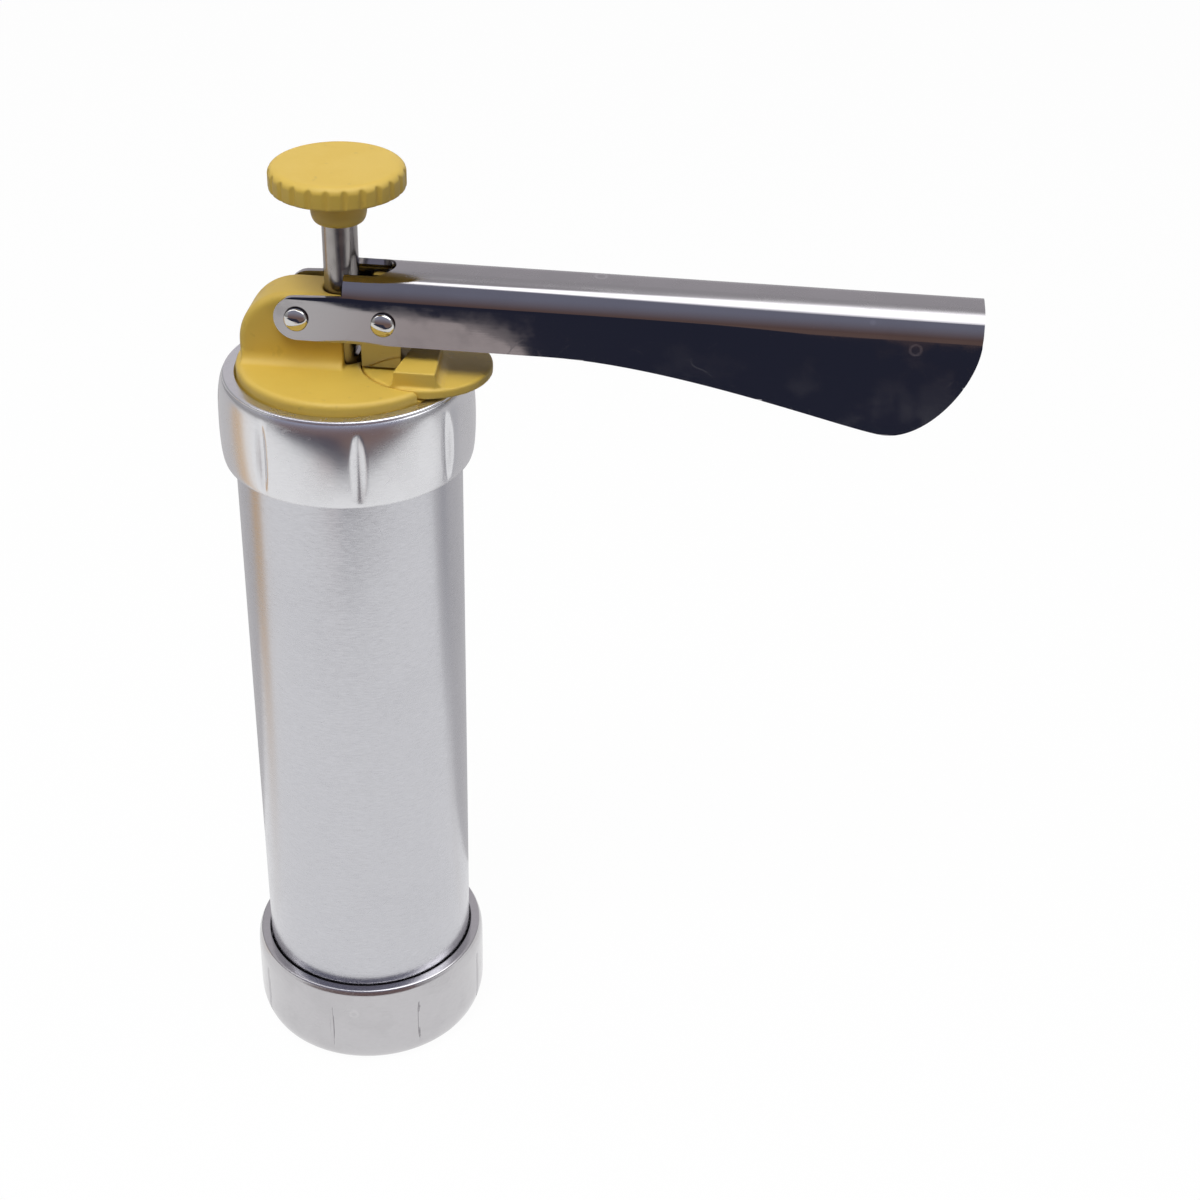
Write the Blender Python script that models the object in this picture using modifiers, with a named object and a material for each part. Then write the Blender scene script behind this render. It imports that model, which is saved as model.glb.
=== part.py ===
"""Lever-action cookie press: an aluminium barrel between two ring nuts, a plastic head with a
web that carries the steel lever, a toothed rod with its piston, and a dial for the stroke.

Metres, +Z up. The lever points along +X and the model is centred over the origin, which lies at
the height of the foot. Heights in the functions are measured from the foot, and distances along
X from the rod's axis.
"""

import math

import bmesh
import bpy
from mathutils import Matrix, Vector

# Clearances
SEAT_GAP = 0.0003
RUNNING_GAP = 0.0003
CUT_OVERRUN = 0.0020

# Barrel
BARREL_RADIUS = 0.0240
BARREL_WALL = 0.0015
BARREL_LENGTH = 0.1646

# Pattern disc
DIE_THICKNESS = 0.0012
DIE_EDGE_GAP = 0.0004
DIE_PETALS = 6
DIE_PETAL_LENGTH = 0.0092
DIE_PETAL_WIDTH = 0.0048
DIE_PETAL_REACH = 0.0094
DIE_CENTRE_RADIUS = 0.0031

# Base ring nut
BASE_RING_HEIGHT = 0.0223
BASE_RING_WALL = 0.0029
BASE_RIM_WALL = 0.0024
BASE_RIM_ROUND = 0.0040
BASE_FLOOR_THICKNESS = 0.0016
BASE_LEDGE_WIDTH = 0.0053
BASE_FOOT_WIDTH = 0.0050
BASE_ROUND_HEIGHT = 0.0065
BASE_RELIEF_WIDTH = 0.0006
BASE_RELIEF_DEPTH = 0.0050

# Top ring nut
TOP_RING_HEIGHT = 0.0192
TOP_RING_WALL = 0.0026
TOP_RING_EDGE_WALL = 0.0012
TOP_RING_SKIRT_WALL = 0.0019
TOP_RING_BULGE_RISE = 0.0085
TOP_RING_LIP_THICKNESS = 0.0014
TOP_RING_LIP_WIDTH = 0.0014

# Scallops of the ring nuts
SCALLOPS = 8
SCALLOP_WIDTH = 0.0058
SCALLOP_LENGTH = 0.0460
SCALLOP_DEPTH = 0.0011
SCALLOP_LIFT = 0.0006
BASE_SCALLOP_WIDTH = 0.0044
BASE_SCALLOP_LENGTH = 0.0400
BASE_SCALLOP_DEPTH = 0.0007
BASE_SCALLOP_LEVEL = 0.0080
TOP_SCALLOP_TURN = math.radians(-73.5)
BASE_SCALLOP_TURN = math.radians(-54.2)

# Head
FLANGE_THICKNESS = 0.0020
SPIGOT_DEPTH = 0.0013
WEB_THICKNESS = 0.0112
WEB_INSET = 0.0016
WEB_NOSE = 0.0008
WEB_CROWN = 0.0045
WEB_CORNER_RADIUS = 0.0115
WEB_FILLET_RADIUS = 0.0025
WEB_FILLET_SINK = 0.0002
PIVOT_RISE = 0.0111

# Size dial
DIAL_WALL_INSET = 0.0052
DIAL_ROD_GAP = 0.0002
DIAL_THICKNESS = 0.0020
DIAL_LIP_GAP = 0.0004
DIAL_EDGE_ROUND = 0.0008
DIAL_FOOT_CHAMFER = 0.0003
DIAL_STUB_RADIUS = 0.0030
DIAL_STUB_PROUD = 0.0001
TAB_HEIGHT = 0.0033
TAB_RIM_WIDTH = 0.0087
TAB_RIM_SHIFT = 0.0005
TAB_CORNER_INSET = 0.0001
TAB_INNER_WIDTH = 0.0058
TAB_INNER_REACH = 0.0015
TAB_PAWL_GAP = 0.0015

# Screws and washers under the head
DIAL_SCREW_RADIUS = 0.0013
DIAL_SCREW_HEAD_RADIUS = 0.0026
DIAL_SCREW_HEAD_HEIGHT = 0.0012
DIAL_SCREW_DEPTH = 0.0045
DIAL_WASHER_RADIUS = 0.0041
DIAL_WASHER_THICKNESS = 0.0007
CATCH_THICKNESS = 0.0005
CATCH_WIDTH = 0.0044
CATCH_LENGTH = 0.0150
CATCH_TIP_REACH = 0.0030
CATCH_SCREW_INSET = 0.0026
CATCH_SCREW_RADIUS = 0.0011
CATCH_SCREW_HEAD_RADIUS = 0.0021
CATCH_SCREW_HEAD_HEIGHT = 0.0010
CATCH_SCREW_DEPTH = 0.0034

# Lever
LEVER_REACH = 0.1291
LEVER_THICKNESS = 0.0012
EAR_GAP = 0.00055
EAR_RADIUS = 0.0047
SHOULDER_RADIUS = 0.0055
SHOULDER_START = 0.0015
LEVER_CROWN = 0.0097
PIVOT_REACH = 0.0081
SLOT_SIDE_GAP = 0.0005
SLOT_REACH = 0.0113
EDGE_FLAT_REACH = 0.0430
EDGE_START_HANDLE = 0.0270
EDGE_END_HANDLE = 0.0060
BELLY_INSET = 0.0171
BELLY_DEPTH = 0.0267
TIP_LOWER_HANDLE = 0.0085
TIP_UPPER_HANDLE = 0.0090
TIP_STRAIGHT = 0.0052

# Rivets
RIVET_RADIUS = 0.0016
RIVET_HEAD_RADIUS = 0.0025
RIVET_HEAD_HEIGHT = 0.0014
PAWL_PIVOT_REACH = 0.0097

# Feed pawl and its spring
PAWL_ROD_GAP = 0.0010
PAWL_HUB_RADIUS = 0.0032
PAWL_PLATE = 0.0012
PAWL_FOOT_GAP = 0.0006
PAWL_FOOT_THICKNESS = 0.0016
PAWL_CHEEK_HEIGHT = 0.0058
PAWL_BACK_HEIGHT = 0.0070
SPRING_WIRE_RADIUS = 0.0003
SPRING_RADIUS = 0.0023
SPRING_TURNS = 3.5
SPRING_PITCH = 0.0011
SPRING_LEG_RUN = 0.0040
SPRING_LEG_DROP = 0.0030

# Rod and knob
ROD_RADIUS = 0.0036
ROD_TOP_INSET = 0.0035
TOOTH_PITCH = 0.0040
TOOTH_DEPTH = 0.0011
TOOTH_CREST_FLAT = 0.0004
TOOTH_MARGIN = 0.0040
KNOB_RISE = 0.0093
KNOB_HUB_RADIUS = 0.0057
KNOB_HUB_FOOT_RADIUS = 0.0046
KNOB_HUB_TAPER = 0.0016
KNOB_HUB_HEIGHT = 0.0070
KNOB_RADIUS = 0.0137
KNOB_THICKNESS = 0.0047
KNOB_EDGE_ROUND = 0.0012
KNOB_FLUTES = 24
KNOB_FLUTE_RADIUS = 0.0008
KNOB_FLUTE_DEPTH = 0.0004

# Piston
PISTON_FOOT_GAP = 0.0013
PISTON_HEIGHT = 0.0090
PISTON_WALL = 0.0020
PISTON_FLOOR = 0.0045
PISTON_HUB_RADIUS = 0.0070
PISTON_HUB_DROP = 0.0014
NUT_POCKET_RADIUS = 0.0052
NUT_POCKET_DEPTH = 0.0040
STUD_RADIUS = 0.0020
NUT_RADIUS = 0.0040
NUT_HEIGHT = 0.0031
PISTON_WASHER_RADIUS = 0.0055
PISTON_WASHER_THICKNESS = 0.0008

# Facets
BIG_STEPS = 48
KNOB_STEPS = 72
MIDDLE_STEPS = 24
SMALL_STEPS = 16
ARC_STEPS = 6
EDGE_STEPS = 10
WELD_DISTANCE = 0.000004
SPRING_STEPS = 10

# Levels, from the foot up
DIE_BOTTOM = BASE_FLOOR_THICKNESS + SEAT_GAP
DIE_TOP = DIE_BOTTOM + DIE_THICKNESS
BARREL_BOTTOM = DIE_TOP + SEAT_GAP
BARREL_TOP = BARREL_BOTTOM + BARREL_LENGTH
FLANGE_BOTTOM = BARREL_TOP + SEAT_GAP
FLANGE_TOP = FLANGE_BOTTOM + FLANGE_THICKNESS
LIP_TOP = FLANGE_TOP + SEAT_GAP + TOP_RING_LIP_THICKNESS
TOP_RING_BOTTOM = LIP_TOP - TOP_RING_HEIGHT
SPIGOT_BOTTOM = FLANGE_BOTTOM - SPIGOT_DEPTH
DIAL_BOTTOM = LIP_TOP + DIAL_LIP_GAP
HEAD_TOP = DIAL_BOTTOM + DIAL_THICKNESS
PIVOT_HEIGHT = HEAD_TOP + PIVOT_RISE
WEB_TOP = PIVOT_HEIGHT + WEB_CROWN
LEVER_TOP = PIVOT_HEIGHT + LEVER_CROWN
KNOB_FOOT = LEVER_TOP + KNOB_RISE
KNOB_RIM_BOTTOM = KNOB_FOOT + KNOB_HUB_HEIGHT
KNOB_TOP = KNOB_RIM_BOTTOM + KNOB_THICKNESS
PISTON_BOTTOM = DIE_TOP + PISTON_FOOT_GAP
PISTON_TOP = PISTON_BOTTOM + PISTON_HEIGHT
PISTON_SEAT = PISTON_TOP - PISTON_HUB_DROP
ROD_BOTTOM = PISTON_SEAT + SEAT_GAP + PISTON_WASHER_THICKNESS + SEAT_GAP
ROD_TOP = KNOB_TOP - ROD_TOP_INSET

# Radii and half widths that fit one another
CHAMBER_RADIUS = BARREL_RADIUS - BARREL_WALL
RING_BORE = BARREL_RADIUS + RUNNING_GAP
LIP_RADIUS = RING_BORE - TOP_RING_LIP_WIDTH
MOUTH_RADIUS = RING_BORE - BASE_LEDGE_WIDTH
HEAD_RADIUS = LIP_RADIUS - RUNNING_GAP
ROD_BORE = ROD_RADIUS + RUNNING_GAP
WEB_HALF = WEB_THICKNESS / 2
CHANNEL_HALF = WEB_HALF + EAR_GAP
LEVER_HALF = CHANNEL_HALF + LEVER_THICKNESS
PAWL_FACE = ROD_RADIUS + PAWL_ROD_GAP
PAWL_BACK = PAWL_PIVOT_REACH + PAWL_HUB_RADIUS
DIAL_REACH = CHAMBER_RADIUS - DIAL_WALL_INSET
DIAL_RADIUS = DIAL_REACH - ROD_RADIUS - DIAL_ROD_GAP
TOP_RING_RADIUS = RING_BORE + TOP_RING_WALL
BASE_RING_RADIUS = RING_BORE + BASE_RING_WALL

# The object's middle lies half way between the ring nuts and the lever's tip
LEFT_REACH = max(TOP_RING_RADIUS, BASE_RING_RADIUS)
AXIS_SHIFT = (LEVER_REACH - LEFT_REACH) / 2


def clear_scene():
    for obj in list(bpy.data.objects):
        bpy.data.objects.remove(obj, do_unlink=True)


def new_collection(name):
    made = bpy.data.collections.new(name)
    bpy.context.scene.collection.children.link(made)
    return made


def make_material(name, colour, roughness, metallic):
    """A plain surface with the piece's own colour, roughness and metallic value."""
    made = bpy.data.materials.new(name)
    made.use_nodes = True
    shader = made.node_tree.nodes["Principled BSDF"]
    shader.inputs["Base Color"].default_value = (*colour, 1.0)
    shader.inputs["Roughness"].default_value = roughness
    shader.inputs["Metallic"].default_value = metallic
    made.diffuse_color = (*colour, 1.0)
    return made


class Workshop:
    """Keeps the collections and the frame that every piece and cutter hangs on."""

    def __init__(self):
        self.pieces = new_collection("cookie_press")
        self.cutters = new_collection("cutters")
        self.frame = bpy.data.objects.new("press_frame", None)
        self.frame.location = (-AXIS_SHIFT, 0.0, 0.0)
        self.pieces.objects.link(self.frame)

    def add(self, name, mesh, place=(0.0, 0.0, 0.0)):
        """A new object in the frame, not yet a piece or a cutter."""
        obj = bpy.data.objects.new(name, mesh)
        obj.parent = self.frame
        obj.location = place
        self.cutters.objects.link(obj)
        obj.hide_render = True
        obj.display_type = "WIRE"
        return obj

    def finish(self, obj, material, smooth=True):
        """Makes the object a piece with its material, with points that nearly meet made one."""
        weld = obj.modifiers.new("Weld", "WELD")
        weld.merge_threshold = WELD_DISTANCE
        self.cutters.objects.unlink(obj)
        self.pieces.objects.link(obj)
        obj.hide_render = False
        obj.display_type = "TEXTURED"
        obj.data.materials.append(material)
        if smooth:
            obj.data.shade_smooth()
            obj.data.set_sharp_from_angle(angle=math.radians(30))
        return obj


def arc(centre, radius, start, end, steps=ARC_STEPS):
    """Points on an arc, from the start to the end angle in degrees."""
    angles = [math.radians(start + (end - start) * i / steps) for i in range(steps + 1)]
    return [(centre[0] + radius * math.cos(a), centre[1] + radius * math.sin(a)) for a in angles]


def ellipse_arc(centre, half_width, half_height, start, end, steps=ARC_STEPS):
    """Points on a quarter or other stretch of an upright ellipse."""
    unit = arc((0.0, 0.0), 1.0, start, end, steps)
    return [(centre[0] + half_width * u, centre[1] + half_height * v) for u, v in unit]


def bezier(start, leave, arrive, end, steps=EDGE_STEPS):
    """Points on a cubic curve, without its first point."""
    points = []
    for i in range(1, steps + 1):
        t = i / steps
        weights = ((1 - t) ** 3, 3 * t * (1 - t) ** 2, 3 * t * t * (1 - t), t**3)
        corners = (start, leave, arrive, end)
        points.append(tuple(sum(w * c[k] for w, c in zip(weights, corners)) for k in (0, 1)))
    return points


def turned(shop, name, profile, steps, place=(0.0, 0.0, 0.0), hollow=False):
    """A profile of (radius, height) points turned round the vertical through the place.

    The points run down the outer side. A hollow profile closes on itself.
    """
    mesh = bpy.data.meshes.new(name)
    count = len(profile)
    edges = [(i, i + 1) for i in range(count - 1)]
    if hollow:
        edges.append((count - 1, 0))
    mesh.from_pydata([(r, 0.0, z) for r, z in profile], edges, [])
    obj = shop.add(name, mesh, place)
    screw = obj.modifiers.new("Turn", "SCREW")
    screw.axis = "Z"
    screw.steps = steps
    screw.render_steps = steps
    screw.use_merge_vertices = True
    screw.merge_threshold = 0.00001
    screw.use_smooth_shade = True
    return obj


def cylinder(shop, name, radius, bottom, top, at=(0.0, 0.0), steps=MIDDLE_STEPS):
    """An upright cylinder between two heights."""
    mesh = bpy.data.meshes.new(name)
    shape = bmesh.new()
    bmesh.ops.create_cone(
        shape, cap_ends=True, segments=steps, radius1=radius, radius2=radius, depth=top - bottom
    )
    shape.to_mesh(mesh)
    shape.free()
    return shop.add(name, mesh, (at[0], at[1], (top + bottom) / 2))


def cross_pin(shop, name, radius, half_length, at, steps=MIDDLE_STEPS):
    """A cylinder along Y through the point (x, z)."""
    obj = cylinder(shop, name, radius, -half_length, half_length, steps=steps)
    obj.data.transform(Matrix.Rotation(math.pi / 2, 4, "X"))
    obj.location = (at[0], 0.0, at[1])
    return obj


def block(shop, name, low, high):
    """A box between two corners."""
    mesh = bpy.data.meshes.new(name)
    shape = bmesh.new()
    bmesh.ops.create_cube(shape, size=1.0)
    size = [b - a for a, b in zip(low, high)]
    middle = [(a + b) / 2 for a, b in zip(low, high)]
    bmesh.ops.scale(shape, vec=size, verts=shape.verts)
    shape.to_mesh(mesh)
    shape.free()
    return shop.add(name, mesh, middle)


def slab(shop, name, outline, thickness, facing, place=(0.0, 0.0, 0.0)):
    """A flat outline, filled and extruded to its thickness about its own plane.

    Facing Z reads the outline as (x, y), facing Y as (x, z) and facing X as (y, z).
    """
    curve = bpy.data.curves.new(name, "CURVE")
    curve.dimensions = "2D"
    curve.fill_mode = "BOTH"
    curve.extrude = thickness / 2
    spline = curve.splines.new("POLY")
    spline.points.add(len(outline) - 1)
    for point, (u, v) in zip(spline.points, outline):
        point.co = (u, v, 0.0, 1.0)
    spline.use_cyclic_u = True
    guide = bpy.data.objects.new(name + "_outline", curve)
    shop.cutters.objects.link(guide)
    mesh = bpy.data.meshes.new_from_object(guide.evaluated_get(bpy.context.evaluated_depsgraph_get()))
    mesh.name = name
    bpy.data.objects.remove(guide, do_unlink=True)
    turns = {
        "Z": Matrix.Identity(4),
        "Y": Matrix.Rotation(math.pi / 2, 4, "X"),
        "X": Matrix.Rotation(math.pi / 2, 4, "Z") @ Matrix.Rotation(math.pi / 2, 4, "X"),
    }
    shape = bmesh.new()
    shape.from_mesh(mesh)
    bmesh.ops.remove_doubles(shape, verts=shape.verts, dist=0.000001)
    bmesh.ops.transform(shape, matrix=turns[facing], verts=shape.verts)
    bmesh.ops.recalc_face_normals(shape, faces=shape.faces)
    shape.to_mesh(mesh)
    shape.free()
    return shop.add(name, mesh, place)


def wire(shop, name, points, radius, place=(0.0, 0.0, 0.0)):
    """A round wire through the points, with closed ends, as a mesh."""
    curve = bpy.data.curves.new(name, "CURVE")
    curve.dimensions = "3D"
    curve.bevel_depth = radius
    curve.bevel_resolution = 1
    curve.use_fill_caps = True
    spline = curve.splines.new("POLY")
    spline.points.add(len(points) - 1)
    for point, co in zip(spline.points, points):
        point.co = (*co, 1.0)
    guide = bpy.data.objects.new(name + "_route", curve)
    shop.cutters.objects.link(guide)
    mesh = bpy.data.meshes.new_from_object(guide.evaluated_get(bpy.context.evaluated_depsgraph_get()))
    mesh.name = name
    bpy.data.objects.remove(guide, do_unlink=True)
    shape = bmesh.new()
    shape.from_mesh(mesh)
    bmesh.ops.remove_doubles(shape, verts=shape.verts, dist=0.000001)
    bmesh.ops.recalc_face_normals(shape, faces=shape.faces)
    shape.to_mesh(mesh)
    shape.free()
    return shop.add(name, mesh, place)


def combine(target, tool, operation):
    """Adds an exact Boolean of the target with the tool."""
    step = target.modifiers.new(operation.title() + " " + tool.name, "BOOLEAN")
    step.operation = operation
    step.solver = "EXACT"
    step.object = tool
    return target


def cut(target, *tools):
    for tool in tools:
        combine(target, tool, "DIFFERENCE")


def join(target, *tools):
    for tool in tools:
        combine(target, tool, "UNION")


def set_origin(obj, point):
    """Moves the object's origin to the point, with its shape left in place."""
    shift = obj.location - Vector(point)
    obj.data.transform(Matrix.Translation(shift))
    obj.location = point


def scallop_cutters(shop, name, ring_radius, level, size, turn):
    """Upright ellipsoids round a ring that leave pointed hollows in its side."""
    width, length, depth = size
    half_depth = width
    reach = ring_radius + half_depth - depth
    mesh = bpy.data.meshes.new(name)
    shape = bmesh.new()
    for i in range(SCALLOPS):
        made = bmesh.ops.create_uvsphere(shape, u_segments=16, v_segments=12, radius=1.0)["verts"]
        bmesh.ops.scale(shape, vec=(half_depth, width / 2, length / 2), verts=made)
        bmesh.ops.translate(shape, vec=(reach, 0.0, level), verts=made)
        angle = turn + 2 * math.pi * i / SCALLOPS
        bmesh.ops.rotate(shape, matrix=Matrix.Rotation(angle, 3, "Z"), verts=made)
    shape.to_mesh(mesh)
    shape.free()
    return shop.add(name, mesh)


def build_barrel(shop, metal):
    profile = [
        (CHAMBER_RADIUS, 0.0),
        (CHAMBER_RADIUS, BARREL_LENGTH),
        (BARREL_RADIUS, BARREL_LENGTH),
        (BARREL_RADIUS, 0.0),
    ]
    barrel = turned(shop, "barrel", profile, BIG_STEPS, (0.0, 0.0, BARREL_BOTTOM), hollow=True)
    shop.finish(barrel, metal)


def build_base_ring(shop, metal):
    """The foot: a cup with a ledge for the pattern disc and an open, relieved rim."""
    foot = MOUTH_RADIUS + BASE_FOOT_WIDTH
    rim = RING_BORE + BASE_RIM_WALL
    relief = RING_BORE + BASE_RELIEF_WIDTH
    widest = BASE_RING_RADIUS
    upper = ellipse_arc(
        (rim, BASE_RING_HEIGHT - BASE_RIM_ROUND), widest - rim, BASE_RIM_ROUND, 90, 0, 4
    )
    lower = ellipse_arc((foot, BASE_ROUND_HEIGHT), widest - foot, BASE_ROUND_HEIGHT, 0, -90)
    profile = [
        (MOUTH_RADIUS, 0.0),
        (MOUTH_RADIUS, BASE_FLOOR_THICKNESS),
        (RING_BORE, BASE_FLOOR_THICKNESS),
        (RING_BORE, BASE_RING_HEIGHT - BASE_RELIEF_DEPTH),
        (relief, BASE_RING_HEIGHT - BASE_RELIEF_DEPTH),
        (relief, BASE_RING_HEIGHT),
        *upper,
        *lower,
    ]
    ring = turned(shop, "base_ring_nut", profile, BIG_STEPS, hollow=True)
    size = (BASE_SCALLOP_WIDTH, BASE_SCALLOP_LENGTH, BASE_SCALLOP_DEPTH)
    level = BASE_SCALLOP_LEVEL
    cut(ring, scallop_cutters(shop, "base_scallops", widest, level, size, BASE_SCALLOP_TURN))
    shop.finish(ring, metal)


def build_top_ring(shop, metal):
    """A nut whose lip holds the head's flange down on the barrel, bulging round its middle."""
    edge = RING_BORE + TOP_RING_EDGE_WALL
    skirt = RING_BORE + TOP_RING_SKIRT_WALL
    upper_rise = TOP_RING_HEIGHT - TOP_RING_BULGE_RISE
    upper = ellipse_arc((edge, TOP_RING_BULGE_RISE), TOP_RING_RADIUS - edge, upper_rise, 90, 0)
    lower = ellipse_arc(
        (skirt, TOP_RING_BULGE_RISE), TOP_RING_RADIUS - skirt, TOP_RING_BULGE_RISE, 0, -90
    )
    lip_bottom = TOP_RING_HEIGHT - TOP_RING_LIP_THICKNESS
    profile = [
        (RING_BORE, 0.0),
        (RING_BORE, lip_bottom),
        (LIP_RADIUS, lip_bottom),
        (LIP_RADIUS, TOP_RING_HEIGHT),
        *upper,
        *lower[1:],
    ]
    place = (0.0, 0.0, TOP_RING_BOTTOM)
    ring = turned(shop, "top_ring_nut", profile, BIG_STEPS, place, hollow=True)
    level = TOP_RING_BOTTOM + TOP_RING_HEIGHT / 2 + SCALLOP_LIFT
    size = (SCALLOP_WIDTH, SCALLOP_LENGTH, SCALLOP_DEPTH)
    cut(ring, scallop_cutters(shop, "top_scallops", TOP_RING_RADIUS, level, size, TOP_SCALLOP_TURN))
    shop.finish(ring, metal)


def build_die(shop, metal):
    """A disc with a daisy of openings that the dough is pressed through."""
    radius = RING_BORE - DIE_EDGE_GAP
    die = cylinder(shop, "pattern_die", radius, DIE_BOTTOM, DIE_TOP, steps=BIG_STEPS)
    low = DIE_BOTTOM - CUT_OVERRUN
    high = DIE_TOP + CUT_OVERRUN
    cut(die, cylinder(shop, "die_centre", DIE_CENTRE_RADIUS, low, high, steps=SMALL_STEPS))
    for i in range(DIE_PETALS):
        petal = cylinder(shop, f"die_petal_{i + 1}", 1.0, low, high, steps=SMALL_STEPS)
        petal.data.transform(Matrix.Diagonal((DIE_PETAL_LENGTH / 2, DIE_PETAL_WIDTH / 2, 1.0, 1.0)))
        petal.data.transform(Matrix.Translation((DIE_PETAL_REACH, 0.0, 0.0)))
        petal.data.transform(Matrix.Rotation(2 * math.pi * i / DIE_PETALS, 4, "Z"))
        cut(die, petal)
    shop.finish(die, metal)


def web_solid(shop):
    """The upright web: its side outline crossed with an end outline that flares into the disc."""
    left = -(HEAD_RADIUS - WEB_INSET)
    root = HEAD_TOP - FLANGE_THICKNESS
    corner = (left + WEB_CORNER_RADIUS, WEB_TOP - WEB_CORNER_RADIUS)
    side = [
        (left, root),
        (WEB_NOSE, root),
        (WEB_NOSE, WEB_TOP),
        *arc(corner, WEB_CORNER_RADIUS, 90, 180),
    ]
    flare = WEB_HALF + WEB_FILLET_RADIUS
    centre = (flare, HEAD_TOP - WEB_FILLET_SINK + WEB_FILLET_RADIUS)
    right_foot = arc(centre, WEB_FILLET_RADIUS, 270, 180, 5)
    left_foot = [(-y, z) for y, z in reversed(right_foot)]
    end = [
        (-flare, root),
        (flare, root),
        *right_foot,
        (WEB_HALF, WEB_TOP + CUT_OVERRUN),
        (-WEB_HALF, WEB_TOP + CUT_OVERRUN),
        *left_foot,
    ]
    web = slab(shop, "web", side, 2 * flare + CUT_OVERRUN, "Y")
    length = 2 * (HEAD_RADIUS + CUT_OVERRUN)
    return combine(web, slab(shop, "web_flare", end, length, "X"), "INTERSECT")


def build_head(shop, plastic):
    """The head: flange, disc and web, with the rod's bore, the dial's seat and the screw holes."""
    spigot = CHAMBER_RADIUS - RUNNING_GAP
    round_edge = arc(
        (HEAD_RADIUS - DIAL_EDGE_ROUND, HEAD_TOP - DIAL_EDGE_ROUND), DIAL_EDGE_ROUND, 90, 0, 4
    )
    profile = [
        (0.0, HEAD_TOP),
        *round_edge,
        (HEAD_RADIUS, FLANGE_TOP),
        (BARREL_RADIUS, FLANGE_TOP),
        (BARREL_RADIUS, FLANGE_BOTTOM),
        (spigot, FLANGE_BOTTOM),
        (spigot, SPIGOT_BOTTOM),
        (0.0, SPIGOT_BOTTOM),
    ]
    head = turned(shop, "head_body", profile, BIG_STEPS)
    join(head, web_solid(shop))
    below = SPIGOT_BOTTOM - CUT_OVERRUN
    above = WEB_TOP + CUT_OVERRUN
    seat = cylinder(
        shop, "dial_seat", DIAL_RADIUS + RUNNING_GAP, DIAL_BOTTOM - SEAT_GAP,
        HEAD_TOP + CUT_OVERRUN, (DIAL_REACH, 0.0), BIG_STEPS,
    )
    stub_hole = cylinder(
        shop, "dial_stub_hole", DIAL_STUB_RADIUS + RUNNING_GAP, below, HEAD_TOP,
        (DIAL_REACH, 0.0), SMALL_STEPS,
    )
    pivot = (-PIVOT_REACH, PIVOT_HEIGHT)
    pivot_hole = cross_pin(
        shop, "pivot_hole", RIVET_RADIUS + RUNNING_GAP, WEB_THICKNESS, pivot, SMALL_STEPS
    )
    catch_x, catch_y = catch_screw_place()
    catch_hole = cylinder(
        shop, "catch_hole", CATCH_SCREW_RADIUS + RUNNING_GAP, below,
        SPIGOT_BOTTOM + CATCH_SCREW_DEPTH + SEAT_GAP, (catch_x, catch_y), SMALL_STEPS,
    )
    cut(head, seat, cylinder(shop, "rod_bore", ROD_BORE, below, above))
    cut(head, stub_hole, pivot_hole, catch_hole)
    shop.finish(head, plastic)


def catch_screw_place():
    """Where the catch's screw stands, (x, y)."""
    middle = ROD_BORE + CATCH_WIDTH / 2
    return middle, CATCH_TIP_REACH - CATCH_LENGTH + CATCH_SCREW_INSET


def build_catch(shop, steel):
    """A flat strip under the head whose straight edge lies beside the rod's teeth."""
    catch_x, catch_y = catch_screw_place()
    top = SPIGOT_BOTTOM - SEAT_GAP
    bottom = top - CATCH_THICKNESS
    strip = block(
        shop, "rod_catch", (ROD_BORE, CATCH_TIP_REACH - CATCH_LENGTH, bottom),
        (ROD_BORE + CATCH_WIDTH, CATCH_TIP_REACH, top),
    )
    hole = cylinder(
        shop, "catch_strip_hole", CATCH_SCREW_RADIUS + RUNNING_GAP, bottom - CUT_OVERRUN,
        top + CUT_OVERRUN, (catch_x, catch_y), SMALL_STEPS,
    )
    cut(strip, hole)
    shop.finish(strip, steel)
    head_top = bottom - SEAT_GAP
    head_bottom = head_top - CATCH_SCREW_HEAD_HEIGHT
    profile = [
        (0.0, SPIGOT_BOTTOM + CATCH_SCREW_DEPTH),
        (CATCH_SCREW_RADIUS, SPIGOT_BOTTOM + CATCH_SCREW_DEPTH),
        (CATCH_SCREW_RADIUS, head_top),
        (CATCH_SCREW_HEAD_RADIUS, head_top),
        (CATCH_SCREW_HEAD_RADIUS, (head_top + head_bottom) / 2),
        (CATCH_SCREW_RADIUS, head_bottom),
        (0.0, head_bottom),
    ]
    screw = turned(shop, "catch_screw", profile, SMALL_STEPS, (catch_x, catch_y, 0.0))
    shop.finish(screw, steel)


def dial_screw_levels():
    """Heights of the stub's end, the washer's faces and the screw head's faces."""
    stub_end = SPIGOT_BOTTOM - DIAL_STUB_PROUD
    washer_top = stub_end - SEAT_GAP
    washer_bottom = washer_top - DIAL_WASHER_THICKNESS
    head_top = washer_bottom - SEAT_GAP
    return stub_end, washer_top, washer_bottom, head_top, head_top - DIAL_SCREW_HEAD_HEIGHT


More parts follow.
